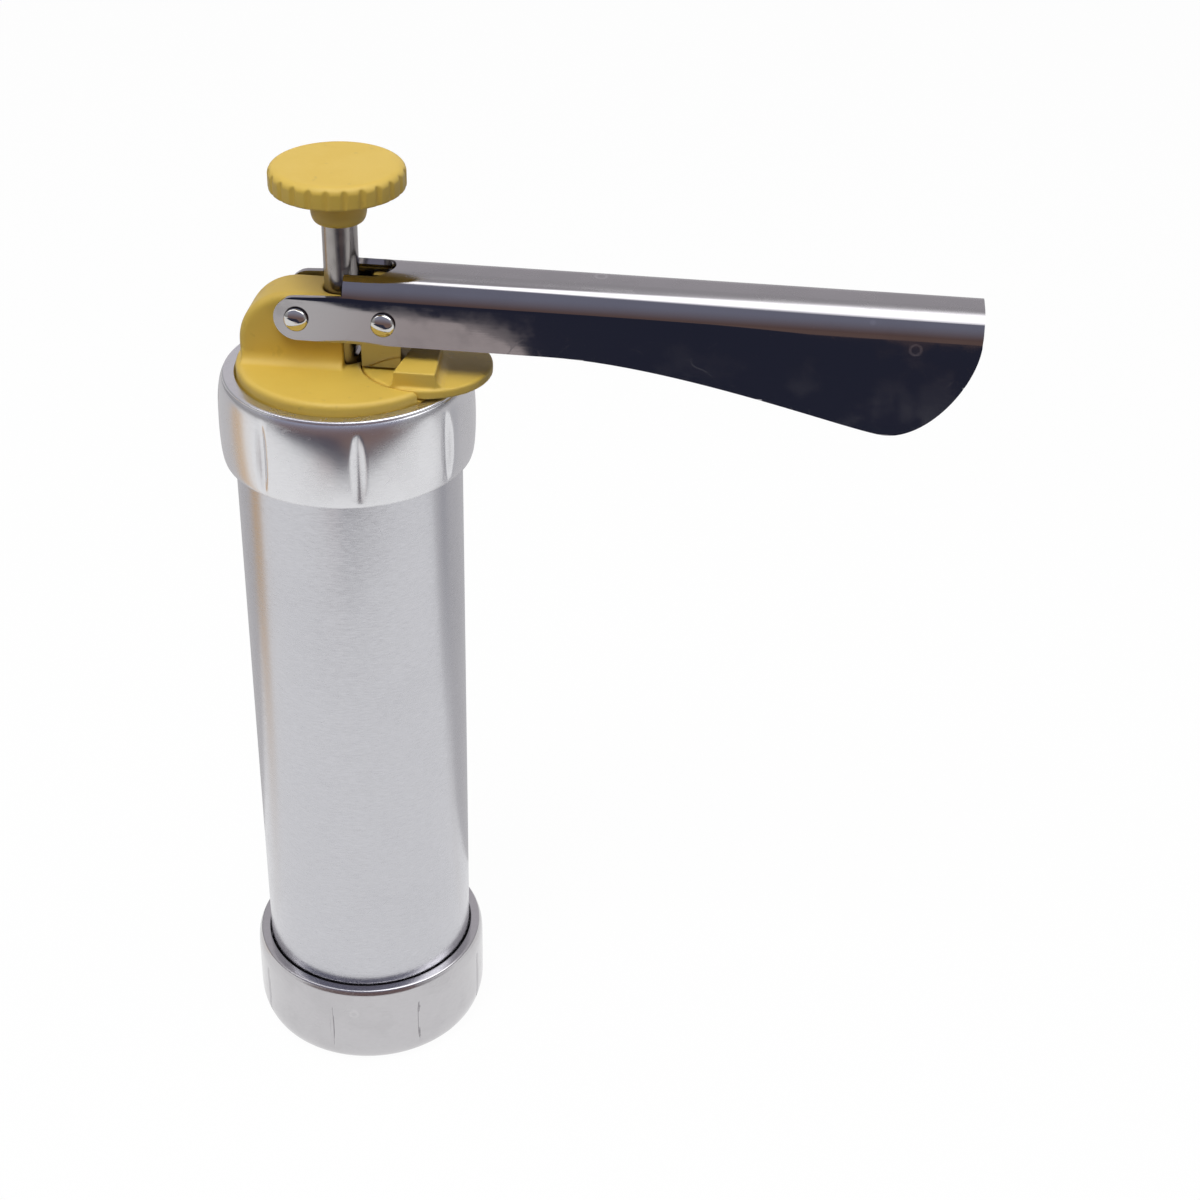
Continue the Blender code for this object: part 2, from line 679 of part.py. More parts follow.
def build_dial(shop, plastic, steel):
    """The size dial with its tab and stub, and the washer and screw that hold it from below."""
    place = (DIAL_REACH, 0.0, 0.0)
    stub_end, washer_top, washer_bottom, head_top, head_bottom = dial_screw_levels()
    inner = DIAL_RADIUS - DIAL_EDGE_ROUND
    profile = [
        (0.0, HEAD_TOP),
        *arc((inner, HEAD_TOP - DIAL_EDGE_ROUND), DIAL_EDGE_ROUND, 90, 0, 4),
        (DIAL_RADIUS, DIAL_BOTTOM + DIAL_FOOT_CHAMFER),
        (DIAL_RADIUS - DIAL_FOOT_CHAMFER, DIAL_BOTTOM),
        (DIAL_STUB_RADIUS, DIAL_BOTTOM),
        (DIAL_STUB_RADIUS, stub_end),
        (0.0, stub_end),
    ]
    dial = turned(shop, "size_dial", profile, BIG_STEPS, place)
    left = PAWL_BACK + TAB_PAWL_GAP - DIAL_REACH
    right = left + TAB_INNER_WIDTH
    rim_left = (left + right - TAB_RIM_WIDTH) / 2 - TAB_RIM_SHIFT
    rim_right = rim_left + TAB_RIM_WIDTH
    corner = DIAL_RADIUS - TAB_CORNER_INSET
    rim = -math.sqrt(corner**2 - max(-rim_left, rim_right) ** 2)
    outline = [
        (rim_left, rim),
        (rim_right, rim),
        (right, TAB_INNER_REACH),
        (left, TAB_INNER_REACH),
    ]
    tab_height = TAB_HEIGHT + DIAL_THICKNESS / 2
    level = HEAD_TOP + TAB_HEIGHT - tab_height / 2
    join(dial, slab(shop, "dial_tab", outline, tab_height, "Z", (DIAL_REACH, 0.0, level)))
    hole = cylinder(
        shop, "dial_screw_hole", DIAL_SCREW_RADIUS + RUNNING_GAP, stub_end - CUT_OVERRUN,
        stub_end + DIAL_SCREW_DEPTH + SEAT_GAP, (DIAL_REACH, 0.0), SMALL_STEPS,
    )
    cut(dial, hole)
    shop.finish(dial, plastic)
    bore = DIAL_SCREW_RADIUS + RUNNING_GAP
    washer_profile = [
        (bore, washer_bottom),
        (bore, washer_top),
        (DIAL_WASHER_RADIUS, washer_top),
        (DIAL_WASHER_RADIUS, washer_bottom),
    ]
    shop.finish(turned(shop, "dial_washer", washer_profile, SMALL_STEPS, place, hollow=True), steel)
    screw_profile = [
        (0.0, stub_end + DIAL_SCREW_DEPTH),
        (DIAL_SCREW_RADIUS, stub_end + DIAL_SCREW_DEPTH),
        (DIAL_SCREW_RADIUS, head_top),
        (DIAL_SCREW_HEAD_RADIUS, head_top),
        (DIAL_SCREW_HEAD_RADIUS, (head_top + head_bottom) / 2),
        (DIAL_SCREW_RADIUS, head_bottom),
        (0.0, head_bottom),
    ]
    shop.finish(turned(shop, "dial_screw", screw_profile, SMALL_STEPS, place), steel)


def lever_side_outline():
    """The lever seen from the side: ear, straight edge, belly, rounded tip and channel end."""
    pivot = (-PIVOT_REACH, PIVOT_HEIGHT)
    edge = PIVOT_HEIGHT - EAR_RADIUS
    belly = (LEVER_REACH - BELLY_INSET, LEVER_TOP - BELLY_DEPTH)
    flat_end = (EDGE_FLAT_REACH, edge)
    tip = (LEVER_REACH, LEVER_TOP - TIP_STRAIGHT)
    return [
        *arc(pivot, EAR_RADIUS, 90, 270, 12),
        flat_end,
        *bezier(
            flat_end, (EDGE_FLAT_REACH + EDGE_START_HANDLE, edge),
            (belly[0] - EDGE_END_HANDLE, belly[1]), belly,
        ),
        *bezier(
            belly, (belly[0] + TIP_LOWER_HANDLE, belly[1]),
            (tip[0], tip[1] - TIP_UPPER_HANDLE), tip,
        ),
        (LEVER_REACH, LEVER_TOP + CUT_OVERRUN),
        (SHOULDER_START, LEVER_TOP + CUT_OVERRUN),
        (SHOULDER_START, PIVOT_HEIGHT + EAR_RADIUS),
    ]


def channel_outline():
    """The lever's section, (y, z): an upside-down U with round shoulders."""
    low = LEVER_TOP - BELLY_DEPTH - CUT_OVERRUN
    inner = SHOULDER_RADIUS - LEVER_THICKNESS
    at_y = LEVER_HALF - SHOULDER_RADIUS
    at_z = LEVER_TOP - SHOULDER_RADIUS
    outer_side = [(LEVER_HALF, low), *arc((at_y, at_z), SHOULDER_RADIUS, 0, 90)]
    inner_side = [*arc((at_y, at_z), inner, 90, 0), (CHANNEL_HALF, low)]
    return [
        *outer_side,
        *[(-y, z) for y, z in reversed(outer_side)],
        *[(-y, z) for y, z in reversed(inner_side)],
        *inner_side,
    ]


def build_lever(shop, steel):
    """A pressed channel: its section crossed with its side outline, less the slot for the rod."""
    left = -PIVOT_REACH - EAR_RADIUS - CUT_OVERRUN
    right = LEVER_REACH + CUT_OVERRUN
    lever = slab(
        shop, "lever", channel_outline(), right - left, "X", ((left + right) / 2, 0.0, 0.0)
    )
    combine(lever, slab(shop, "lever_side", lever_side_outline(), 4 * LEVER_HALF, "Y"), "INTERSECT")
    half_slot = ROD_RADIUS + SLOT_SIDE_GAP
    centre = SLOT_REACH - half_slot
    slot = [(-PIVOT_REACH, half_slot), (-PIVOT_REACH, -half_slot)]
    slot += arc((centre, 0.0), half_slot, -90, 90, 12)
    level = LEVER_TOP - LEVER_THICKNESS
    cut(lever, slab(shop, "lever_slot", slot, 4 * LEVER_THICKNESS, "Z", (0.0, 0.0, level)))
    hole_radius = RIVET_RADIUS + RUNNING_GAP
    for name, x in (("lever_pivot_holes", -PIVOT_REACH), ("lever_pawl_holes", PAWL_PIVOT_REACH)):
        cut(lever, cross_pin(shop, name, hole_radius, LEVER_HALF * 2, (x, PIVOT_HEIGHT), SMALL_STEPS))
    set_origin(lever, (-PIVOT_REACH, 0.0, PIVOT_HEIGHT))
    shop.finish(lever, steel)


def build_rivet(shop, name, x, steel):
    """A pin across the lever with a dome on each end."""
    face = LEVER_HALF + SEAT_GAP
    dome = ellipse_arc((0.0, face), RIVET_HEAD_RADIUS, RIVET_HEAD_HEIGHT, 90, 0, 5)
    upper = [*dome, (RIVET_RADIUS, face)]
    lower = [(r, -z) for r, z in reversed(upper)]
    rivet = turned(shop, name, [*upper, *lower], MIDDLE_STEPS)
    rivet.rotation_euler = (math.pi / 2, 0.0, 0.0)
    rivet.location = (x, 0.0, PIVOT_HEIGHT)
    shop.finish(rivet, steel)


def build_pawl(shop, steel):
    """A stirrup of two cheeks, a foot that meets the rod's teeth and a back wall for the spring."""
    hub = (PAWL_PIVOT_REACH, PIVOT_HEIGHT)
    back = PAWL_BACK
    foot = HEAD_TOP + PAWL_FOOT_GAP
    floor = foot + PAWL_FOOT_THICKNESS
    back_top = foot + PAWL_BACK_HEIGHT
    outline = [
        (PAWL_FACE, foot),
        (back, foot),
        *arc(hub, PAWL_HUB_RADIUS, 0, 150),
        (PAWL_FACE, foot + PAWL_CHEEK_HEIGHT),
    ]
    pawl = slab(shop, "feed_pawl", outline, WEB_THICKNESS, "Y")
    clear_top = PIVOT_HEIGHT + PAWL_HUB_RADIUS + CUT_OVERRUN
    pocket = [
        (PAWL_FACE - CUT_OVERRUN, floor),
        (back - PAWL_PLATE, floor),
        (back - PAWL_PLATE, back_top),
        (back + CUT_OVERRUN, back_top),
        (back + CUT_OVERRUN, clear_top),
        (PAWL_FACE - CUT_OVERRUN, clear_top),
    ]
    cut(pawl, slab(shop, "pawl_pocket", pocket, WEB_THICKNESS - 2 * PAWL_PLATE, "Y"))
    cut(pawl, cross_pin(shop, "pawl_hole", RIVET_RADIUS + RUNNING_GAP, WEB_THICKNESS, hub, SMALL_STEPS))
    set_origin(pawl, (PAWL_PIVOT_REACH, 0.0, PIVOT_HEIGHT))
    shop.finish(pawl, steel)


def build_pawl_spring(shop, steel):
    """A torsion spring round the pawl's rivet, from the channel's roof to the pawl's back wall."""
    count = round(SPRING_TURNS * SPRING_STEPS)
    half_coil = SPRING_TURNS * SPRING_PITCH / 2
    coil = []
    for i in range(count + 1):
        angle = math.pi / 2 + 2 * math.pi * i / SPRING_STEPS
        y = -half_coil + SPRING_PITCH * i / SPRING_STEPS
        coil.append((SPRING_RADIUS * math.cos(angle), y, SPRING_RADIUS * math.sin(angle)))
    roof = LEVER_CROWN - LEVER_THICKNESS - SEAT_GAP - SPRING_WIRE_RADIUS
    beside = PAWL_HUB_RADIUS + SEAT_GAP + 2 * SPRING_WIRE_RADIUS
    upper_leg = [
        (SPRING_LEG_RUN, -half_coil, roof),
        (SPRING_LEG_RUN / 2, -half_coil, SPRING_RADIUS + 2 * SPRING_WIRE_RADIUS),
    ]
    lower_leg = [
        (beside - SPRING_WIRE_RADIUS, half_coil, -SPRING_RADIUS),
        (beside, half_coil, -SPRING_RADIUS - SPRING_WIRE_RADIUS),
        (beside, half_coil, -SPRING_RADIUS - SPRING_LEG_DROP),
    ]
    closest = min(
        math.dist(p, q)
        for i, p in enumerate(coil)
        for q in coil[i + SPRING_STEPS // 2:]
    )
    print(f"pawl_spring gap to itself {1000 * (closest - 2 * SPRING_WIRE_RADIUS):.2f} mm")
    place = (PAWL_PIVOT_REACH, 0.0, PIVOT_HEIGHT)
    route = [*upper_leg, *coil, *lower_leg]
    shop.finish(wire(shop, "pawl_spring", route, SPRING_WIRE_RADIUS, place), steel)


def tooth_cutter(shop):
    """A saw-toothed slab that leaves the rod's teeth on its +X side."""
    root = ROD_RADIUS - TOOTH_DEPTH
    crest = ROD_RADIUS - TOOTH_CREST_FLAT
    outside = ROD_RADIUS + CUT_OVERRUN
    low = HEAD_TOP - plunger_travel() - TOOTH_MARGIN
    count = math.ceil((HEAD_TOP + TOOTH_MARGIN - low) / TOOTH_PITCH)
    outline = [(outside, low + count * TOOTH_PITCH), (outside, low)]
    for i in range(count):
        outline.append((root, low + i * TOOTH_PITCH))
        outline.append((crest, low + (i + 1) * TOOTH_PITCH))
    return slab(shop, "teeth", outline, 4 * ROD_RADIUS, "Y")


def plunger_travel():
    """How far the piston rises before it meets the dial's screw under the head."""
    return dial_screw_levels()[-1] - SEAT_GAP - PISTON_TOP


def build_rod(shop, steel):
    """The rod with a stud for the piston at its lower end and teeth along its side."""
    stud_end = PISTON_BOTTOM + SEAT_GAP
    profile = [
        (0.0, ROD_TOP),
        (ROD_RADIUS - RUNNING_GAP, ROD_TOP),
        (ROD_RADIUS, ROD_TOP - RUNNING_GAP),
        (ROD_RADIUS, ROD_BOTTOM),
        (STUD_RADIUS, ROD_BOTTOM),
        (STUD_RADIUS, stud_end),
        (0.0, stud_end),
    ]
    rod = turned(shop, "plunger_rod", profile, MIDDLE_STEPS)
    cut(rod, tooth_cutter(shop))
    shop.finish(rod, steel)


def build_knob(shop, plastic):
    """A fluted disc on a tapered hub, with a blind bore for the rod."""
    bore = ROD_BORE
    bore_top = ROD_TOP + SEAT_GAP
    inner = KNOB_RADIUS - KNOB_EDGE_ROUND
    under_round = KNOB_EDGE_ROUND / 2
    profile = [
        (0.0, KNOB_TOP),
        *arc((inner, KNOB_TOP - KNOB_EDGE_ROUND), KNOB_EDGE_ROUND, 90, 0, 5),
        (KNOB_RADIUS, KNOB_RIM_BOTTOM + under_round),
        (KNOB_RADIUS - under_round, KNOB_RIM_BOTTOM),
        (KNOB_HUB_RADIUS, KNOB_RIM_BOTTOM),
        (KNOB_HUB_RADIUS, KNOB_FOOT + KNOB_HUB_TAPER),
        (KNOB_HUB_FOOT_RADIUS, KNOB_FOOT),
        (bore, KNOB_FOOT),
        (bore, bore_top),
        (0.0, bore_top),
    ]
    knob = turned(shop, "knob", profile, KNOB_STEPS)
    mesh = bpy.data.meshes.new("knob_flutes")
    shape = bmesh.new()
    reach = KNOB_RADIUS + KNOB_FLUTE_RADIUS - KNOB_FLUTE_DEPTH
    for i in range(KNOB_FLUTES):
        made = bmesh.ops.create_cone(
            shape, cap_ends=True, segments=8, radius1=KNOB_FLUTE_RADIUS,
            radius2=KNOB_FLUTE_RADIUS, depth=KNOB_THICKNESS + CUT_OVERRUN,
        )["verts"]
        bmesh.ops.translate(shape, vec=(reach, 0.0, 0.0), verts=made)
        angle = 2 * math.pi * i / KNOB_FLUTES + math.pi / KNOB_STEPS
        bmesh.ops.rotate(shape, matrix=Matrix.Rotation(angle, 3, "Z"), verts=made)
    shape.to_mesh(mesh)
    shape.free()
    cut(knob, shop.add("knob_flutes", mesh, (0.0, 0.0, (KNOB_RIM_BOTTOM + KNOB_TOP) / 2)))
    shop.finish(knob, plastic)


def build_piston(shop, plastic, steel):
    """A cup with a hub, and the washer and nut that hold it on the rod's stud."""
    radius = CHAMBER_RADIUS - RUNNING_GAP
    bore = STUD_RADIUS + RUNNING_GAP
    pocket_top = PISTON_BOTTOM + NUT_POCKET_DEPTH
    cup_floor = PISTON_BOTTOM + PISTON_FLOOR
    profile = [
        (bore, pocket_top),
        (bore, PISTON_SEAT),
        (PISTON_HUB_RADIUS, PISTON_SEAT),
        (PISTON_HUB_RADIUS, cup_floor),
        (radius - PISTON_WALL, cup_floor),
        (radius - PISTON_WALL, PISTON_TOP),
        (radius, PISTON_TOP),
        (radius, PISTON_BOTTOM),
        (NUT_POCKET_RADIUS, PISTON_BOTTOM),
        (NUT_POCKET_RADIUS, pocket_top),
    ]
    shop.finish(turned(shop, "piston", profile, BIG_STEPS, hollow=True), plastic)
    washer_bottom = PISTON_SEAT + SEAT_GAP
    washer_top = washer_bottom + PISTON_WASHER_THICKNESS
    washer_profile = [
        (bore, washer_bottom),
        (bore, washer_top),
        (PISTON_WASHER_RADIUS, washer_top),
        (PISTON_WASHER_RADIUS, washer_bottom),
    ]
    shop.finish(turned(shop, "piston_washer", washer_profile, MIDDLE_STEPS, hollow=True), steel)
    nut_top = pocket_top - SEAT_GAP
    nut = cylinder(shop, "piston_nut", NUT_RADIUS, nut_top - NUT_HEIGHT, nut_top, steps=6)
    nut_bore = cylinder(
        shop, "nut_bore", bore, nut_top - NUT_HEIGHT - CUT_OVERRUN, nut_top + CUT_OVERRUN,
        steps=SMALL_STEPS,
    )
    cut(nut, nut_bore)
    shop.finish(nut, steel, smooth=False)


def main():
    clear_scene()
    shop = Workshop()
    yellow = make_material("yellow_plastic", (0.63, 0.455, 0.11), 0.45, 0.0)
    white = make_material("white_plastic", (0.78, 0.78, 0.75), 0.45, 0.0)
    satin = make_material("satin_aluminium", (0.60, 0.60, 0.62), 0.35, 1.0)
    disc = make_material("bright_aluminium", (0.66, 0.66, 0.67), 0.28, 1.0)
    channel = make_material("stainless_steel", (0.50, 0.49, 0.50), 0.25, 1.0)
    ground = make_material("ground_steel", (0.38, 0.36, 0.35), 0.30, 1.0)
    polished = make_material("polished_steel", (0.66, 0.65, 0.63), 0.12, 1.0)
    dark = make_material("spring_steel", (0.25, 0.25, 0.27), 0.35, 1.0)

    build_barrel(shop, satin)
    build_base_ring(shop, satin)
    build_top_ring(shop, satin)
    build_die(shop, disc)
    build_head(shop, yellow)
    build_catch(shop, dark)
    build_dial(shop, yellow, ground)
    build_lever(shop, channel)
    build_rivet(shop, "lever_pivot_rivet", -PIVOT_REACH, polished)
    build_rivet(shop, "pawl_rivet", PAWL_PIVOT_REACH, polished)
    build_pawl(shop, channel)
    build_pawl_spring(shop, dark)
    build_rod(shop, ground)
    build_knob(shop, yellow)
    build_piston(shop, white, ground)
    print(f"plunger travel {1000 * plunger_travel():.1f} mm, axis at x {-1000 * AXIS_SHIFT:.2f} mm")


main()
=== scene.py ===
"""Studio scene of the cookie press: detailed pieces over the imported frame, light and camera."""

import logging
import math
from collections.abc import Callable, Iterable, Sequence
from dataclasses import dataclass
from enum import Enum

import bmesh
import bpy
import numpy as np
from mathutils import Matrix, Vector


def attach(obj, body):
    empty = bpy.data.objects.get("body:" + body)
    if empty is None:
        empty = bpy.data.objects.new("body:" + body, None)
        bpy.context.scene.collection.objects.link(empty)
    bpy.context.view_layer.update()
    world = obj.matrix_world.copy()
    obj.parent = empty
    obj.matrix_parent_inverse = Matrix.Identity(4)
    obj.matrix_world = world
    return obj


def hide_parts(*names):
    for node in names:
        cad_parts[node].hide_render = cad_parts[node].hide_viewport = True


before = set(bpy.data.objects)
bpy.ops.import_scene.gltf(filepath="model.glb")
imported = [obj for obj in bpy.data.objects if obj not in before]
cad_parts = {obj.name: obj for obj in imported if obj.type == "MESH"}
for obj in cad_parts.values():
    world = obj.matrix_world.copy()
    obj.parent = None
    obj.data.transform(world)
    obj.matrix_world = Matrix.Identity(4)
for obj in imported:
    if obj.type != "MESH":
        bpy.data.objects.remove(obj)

LOG = logging.getLogger("cookie_press")
MM = 0.001
AXIS_X = -50.95

# An angle in degrees, one in radians, and how near two points lie to be one
SHARP_ANGLE = 50.0
STRAIGHT = 0.02
NEAR = 1e-5
HAIR = 1e-6
FINE = 1e-7

Point = tuple[float, float]
Place = tuple[float, float, float]
Colour = tuple[float, float, float]


# Node trees


class Sock:
    """A node socket, or a number, that takes part in Python expressions."""

    def __init__(self, tree: "Tree", out: bpy.types.NodeSocket | float) -> None:
        """Keeps the tree that new nodes go to, and the socket or number."""
        self.tree = tree
        self.out = out

    def __add__(self, other: "Sock | float") -> "Sock":
        """Sum."""
        return self.tree.math("ADD", self, other)

    def __radd__(self, other: float) -> "Sock":
        """Sum with a number on the left."""
        return self.tree.math("ADD", other, self)

    def __sub__(self, other: "Sock | float") -> "Sock":
        """Difference."""
        return self.tree.math("SUBTRACT", self, other)

    def __rsub__(self, other: float) -> "Sock":
        """Difference from a number on the left."""
        return self.tree.math("SUBTRACT", other, self)

    def __mul__(self, other: "Sock | float") -> "Sock":
        """Product."""
        return self.tree.math("MULTIPLY", self, other)

    def __rmul__(self, other: float) -> "Sock":
        """Product with a number on the left."""
        return self.tree.math("MULTIPLY", other, self)

    def __truediv__(self, other: "Sock | float") -> "Sock":
        """Quotient."""
        return self.tree.math("DIVIDE", self, other)


class Tree:
    """Builds the nodes of one shader or geometry tree."""

    def __init__(self, tree: bpy.types.NodeTree) -> None:
        """Takes over an existing tree."""
        self.tree = tree

    def node(
        self,
        kind: str,
        settings: dict[str, object] | None = None,
        inputs: dict[str | int, object] | None = None,
    ) -> bpy.types.Node:
        """Adds one node.

        Args:
            kind: The node's type name.
            settings: Properties that are set first.
            inputs: Values or links by socket name or number.

        Returns:
            The new node.
        """
        made = self.tree.nodes.new(kind)
        for key, value in (settings or {}).items():
            setattr(made, key, value)
        for key, value in (inputs or {}).items():
            self.feed(made.inputs[key], value)
        return made

    def feed(self, socket: bpy.types.NodeSocket, value: object) -> None:
        """Links or sets one input socket.

        Args:
            socket: The input.
            value: What it is linked to or set to.
        """
        if isinstance(value, Sock):
            value = value.out
        if isinstance(value, bpy.types.NodeSocket):
            self.tree.links.new(value, socket)
        else:
            socket.default_value = value

    def out(self, node: bpy.types.Node, name: str | int = 0) -> Sock:
        """The named output of a node as a Sock."""
        return Sock(self, node.outputs[name])

    def math(self, operation: str, *values: "Sock | float") -> Sock:
        """A Math node with its operation and its values in order.

        Args:
            operation: The operation's name.
            values: The values or links in order.

        Returns:
            The result.
        """
        inputs = dict(enumerate(values))
        return self.out(self.node("ShaderNodeMath", {"operation": operation}, inputs))

    def split(self, vector: Sock) -> tuple[Sock, Sock, Sock]:
        """The three parts of a vector."""
        parts = self.node("ShaderNodeSeparateXYZ", inputs={0: vector})
        return self.out(parts, 0), self.out(parts, 1), self.out(parts, 2)

    def join(self, x: Sock | float, y: Sock | float, z: Sock | float) -> Sock:
        """A vector from three parts."""
        return self.out(self.node("ShaderNodeCombineXYZ", inputs={0: x, 1: y, 2: z}))

    def blend(self, share: Sock | float, a: object, b: object, kind: str = "MIX") -> Sock:
        """Mixes two colours by a share.

        Args:
            share: How much of the second colour is taken.
            a: The first colour.
            b: The second colour.
            kind: How they are mixed.

        Returns:
            The mixed colour.
        """
        settings = {"data_type": "RGBA", "blend_type": kind}
        made = self.node("ShaderNodeMix", settings, {0: share, 6: a, 7: b})
        return Sock(self, made.outputs[2])

    def ramp(self, value: Sock, low: float, high: float) -> Sock:
        """Maps the value so that low gives 0 and high gives 1, clamped and smooth.

        Args:
            value: What is mapped.
            low: The value that gives 0.
            high: The value that gives 1.

        Returns:
            The share, from 0 to 1.
        """
        settings = {"interpolation_type": "SMOOTHSTEP"}
        ends = {0: value, 1: low, 2: high, 3: 0.0, 4: 1.0}
        return self.out(self.node("ShaderNodeMapRange", settings, ends))

    def noise(self, place: Sock, scale: float, detail: float, roughness: float = 0.5) -> Sock:
        """Noise of 0 to 1 at a scale per metre."""
        inputs = {"Vector": place, "Scale": scale, "Detail": detail, "Roughness": roughness}
        return self.out(self.node("ShaderNodeTexNoise", inputs=inputs))

    def own_place(self, seed: float, spread: Place) -> tuple[Sock, Sock]:
        """Object coordinates, and the same moved so that no two finishes share their marks.

        Args:
            seed: The finish's own number.
            spread: How far the seed moves each part.

        Returns:
            The plain and the moved coordinates.
        """
        place = self.out(self.node("ShaderNodeTexCoord"), "Object")
        shift = tuple(seed * part for part in spread)
        moved = self.node("ShaderNodeMapping", inputs={"Vector": place, "Location": shift})
        return place, self.out(moved)

    def cover(
        self, shader: bpy.types.Node, colour: Sock, roughness: Sock, bump: dict[str, object]
    ) -> None:
        """Feeds a shader its colour, its roughness and a bump with the given inputs.

        Args:
            shader: The Principled shader.
            colour: The colour.
            roughness: The roughness.
            bump: The Bump node's inputs by name.
        """
        self.feed(shader.inputs["Base Color"], colour)
        self.feed(shader.inputs["Roughness"], roughness)
        normal = self.node("ShaderNodeBump", inputs=bump)
        self.feed(shader.inputs["Normal"], self.out(normal))


def principled(name: str) -> tuple[bpy.types.Material, Tree, bpy.types.Node]:
    """A new material, its tree and its Principled shader.

    Args:
        name: The material's name.

    Returns:
        The material, the tree and the shader.
    """
    material = bpy.data.materials.new(name)
    material.use_nodes = True
    return material, Tree(material.node_tree), material.node_tree.nodes["Principled BSDF"]


# Finishes


class Grain(Enum):
    """The way a surface was worked, as how often its marks repeat along X, Y and Z per metre."""

    BRUSHED_ROUND = (620.0, 620.0, 4200.0)
    SATIN = (3200.0, 3200.0, 3200.0)
    TURNED = (110.0, 110.0, 9000.0)
    DRAWN_UP = (5200.0, 5200.0, 90.0)
    ROLLED = (75.0, 5200.0, 5200.0)


@dataclass(frozen=True)
class Wear:
    """Where handling marks lie, and what they do. Scales are per metre."""

    smudge: Point = (0.44, 0.66)
    smudge_dulls: float = 0.8
    smudge_darkens: float = 0.5
    scratch_dulls: float = 0.10
    scratch_scale: float = 70.0
    scratch_width: float = 0.006
    scratch_wave_scale: float = 60.0
    scratch_wave: float = 0.02
    scratch_patch_scale: float = 130.0
    scratch_patch: Point = (0.52, 0.62)
    spot_dulls: float = 0.30
    drop_scale: float = 95.0
    drop_rim_in: Point = (0.10, 0.125)
    drop_rim_out: Point = (0.135, 0.17)
    drop_chance: float = 0.62
    grit_scale: float = 620.0
    grit_size: Point = (0.04, 0.11)
    grit_chance: float = 0.90
    relief: float = 0.1 * MM
    least_roughness: float = 0.04
    dull_blend: float = 0.5 * MM
    spread: Place = (1.0, 0.7, 1.3)


WEAR = Wear()


@dataclass(frozen=True)
class Metal:
    """A bare metal with its grain, smudges, dried drops and fine scratches."""

    name: str
    colour: Colour
    roughness: float
    grain: Grain
    grain_depth: float = 0.05
    grain_spread: float = 0.10
    smudge: float = 0.10
    smudge_scale: float = 90.0
    scratches: float = 0.25
    spots: float = 0.0
    dull: float = 0.0
    dull_above: float = 1.0
    seed: float = 0.0

    def build(self) -> bpy.types.Material:
        """Makes the material.

        Returns:
            A Principled material whose colour, roughness and bump vary over the surface.
        """
        material, tree, shader = principled(self.name)
        place, moved = tree.own_place(self.seed, WEAR.spread)
        worked = tree.node("ShaderNodeMapping", inputs={"Vector": moved, "Scale": self.grain.value})
        grain = tree.noise(tree.out(worked), 1.0, 3.0)
        smudge = tree.ramp(tree.noise(moved, self.smudge_scale, 4.0, 0.6), *WEAR.smudge)
        scratch = self._scratches(tree, moved)
        spot = self._spots(tree, moved)
        roughness = self.roughness + (grain - 0.5) * self.grain_spread
        roughness = roughness + smudge * (self.smudge * WEAR.smudge_dulls)
        roughness = roughness + scratch * WEAR.scratch_dulls + spot * (self.spots * WEAR.spot_dulls)
        high = tree.ramp(tree.split(place)[2], self.dull_above - WEAR.dull_blend, self.dull_above)
        roughness = roughness + high * self.dull
        shade = 1.0 - smudge * (self.smudge * WEAR.smudge_darkens)
        shade = shade - (grain - 0.5) * self.grain_spread + spot * self.spots
        colour = tree.blend(1.0, (*self.colour, 1.0), tree.join(shade, shade, shade), "MULTIPLY")
        roughness = tree.math("MAXIMUM", roughness, WEAR.least_roughness)
        height = grain - scratch * self.scratches + smudge * self.smudge
        bump = {"Strength": self.grain_depth, "Distance": WEAR.relief, "Height": height}
        tree.cover(shader, colour, roughness, bump)
        shader.inputs["Metallic"].default_value = 1.0
        return material

    @staticmethod
    def _scratches(tree: Tree, place: Sock) -> Sock:
        """A mask of sparse hair lines, 1 on a line.

        Args:
            tree: The material's tree.
            place: The moved coordinates.

        Returns:
            The mask.
        """
        wave = tree.node(
            "ShaderNodeTexNoise",
            inputs={"Vector": place, "Scale": WEAR.scratch_wave_scale, "Detail": 1.0},
        )
        shifted = tree.node(
            "ShaderNodeVectorMath",
            {"operation": "MULTIPLY_ADD"},
            {0: tree.out(wave, "Color"), 1: (WEAR.scratch_wave,) * 3, 2: place},
        )
        cells = tree.node(
            "ShaderNodeTexVoronoi",
            {"feature": "DISTANCE_TO_EDGE"},
            {"Vector": tree.out(shifted), "Scale": WEAR.scratch_scale},
        )
        line = 1.0 - tree.ramp(tree.out(cells), 0.0, WEAR.scratch_width)
        patch = tree.noise(place, WEAR.scratch_patch_scale, 2.0)
        return line * tree.ramp(patch, *WEAR.scratch_patch)

    @staticmethod
    def _spots(tree: Tree, place: Sock) -> Sock:
        """A mask of dried drops, bright round their rims, and of small specks.

        Args:
            tree: The material's tree.
            place: The moved coordinates.

        Returns:
            The mask.
        """
        kind = "ShaderNodeTexVoronoi"
        drops = tree.node(kind, inputs={"Vector": place, "Scale": WEAR.drop_scale})
        far = tree.out(drops, "Distance")
        rim = tree.ramp(far, *WEAR.drop_rim_in) * (1.0 - tree.ramp(far, *WEAR.drop_rim_out))
        chance = tree.split(tree.out(drops, "Color"))[0]
        some = tree.math("GREATER_THAN", chance, WEAR.drop_chance)
        grit = tree.node(kind, inputs={"Vector": place, "Scale": WEAR.grit_scale})
        speck = 1.0 - tree.ramp(tree.out(grit, "Distance"), *WEAR.grit_size)
        chance = tree.split(tree.out(grit, "Color"))[1]
        few = tree.math("GREATER_THAN", chance, WEAR.grit_chance)
        return rim * some + speck * few


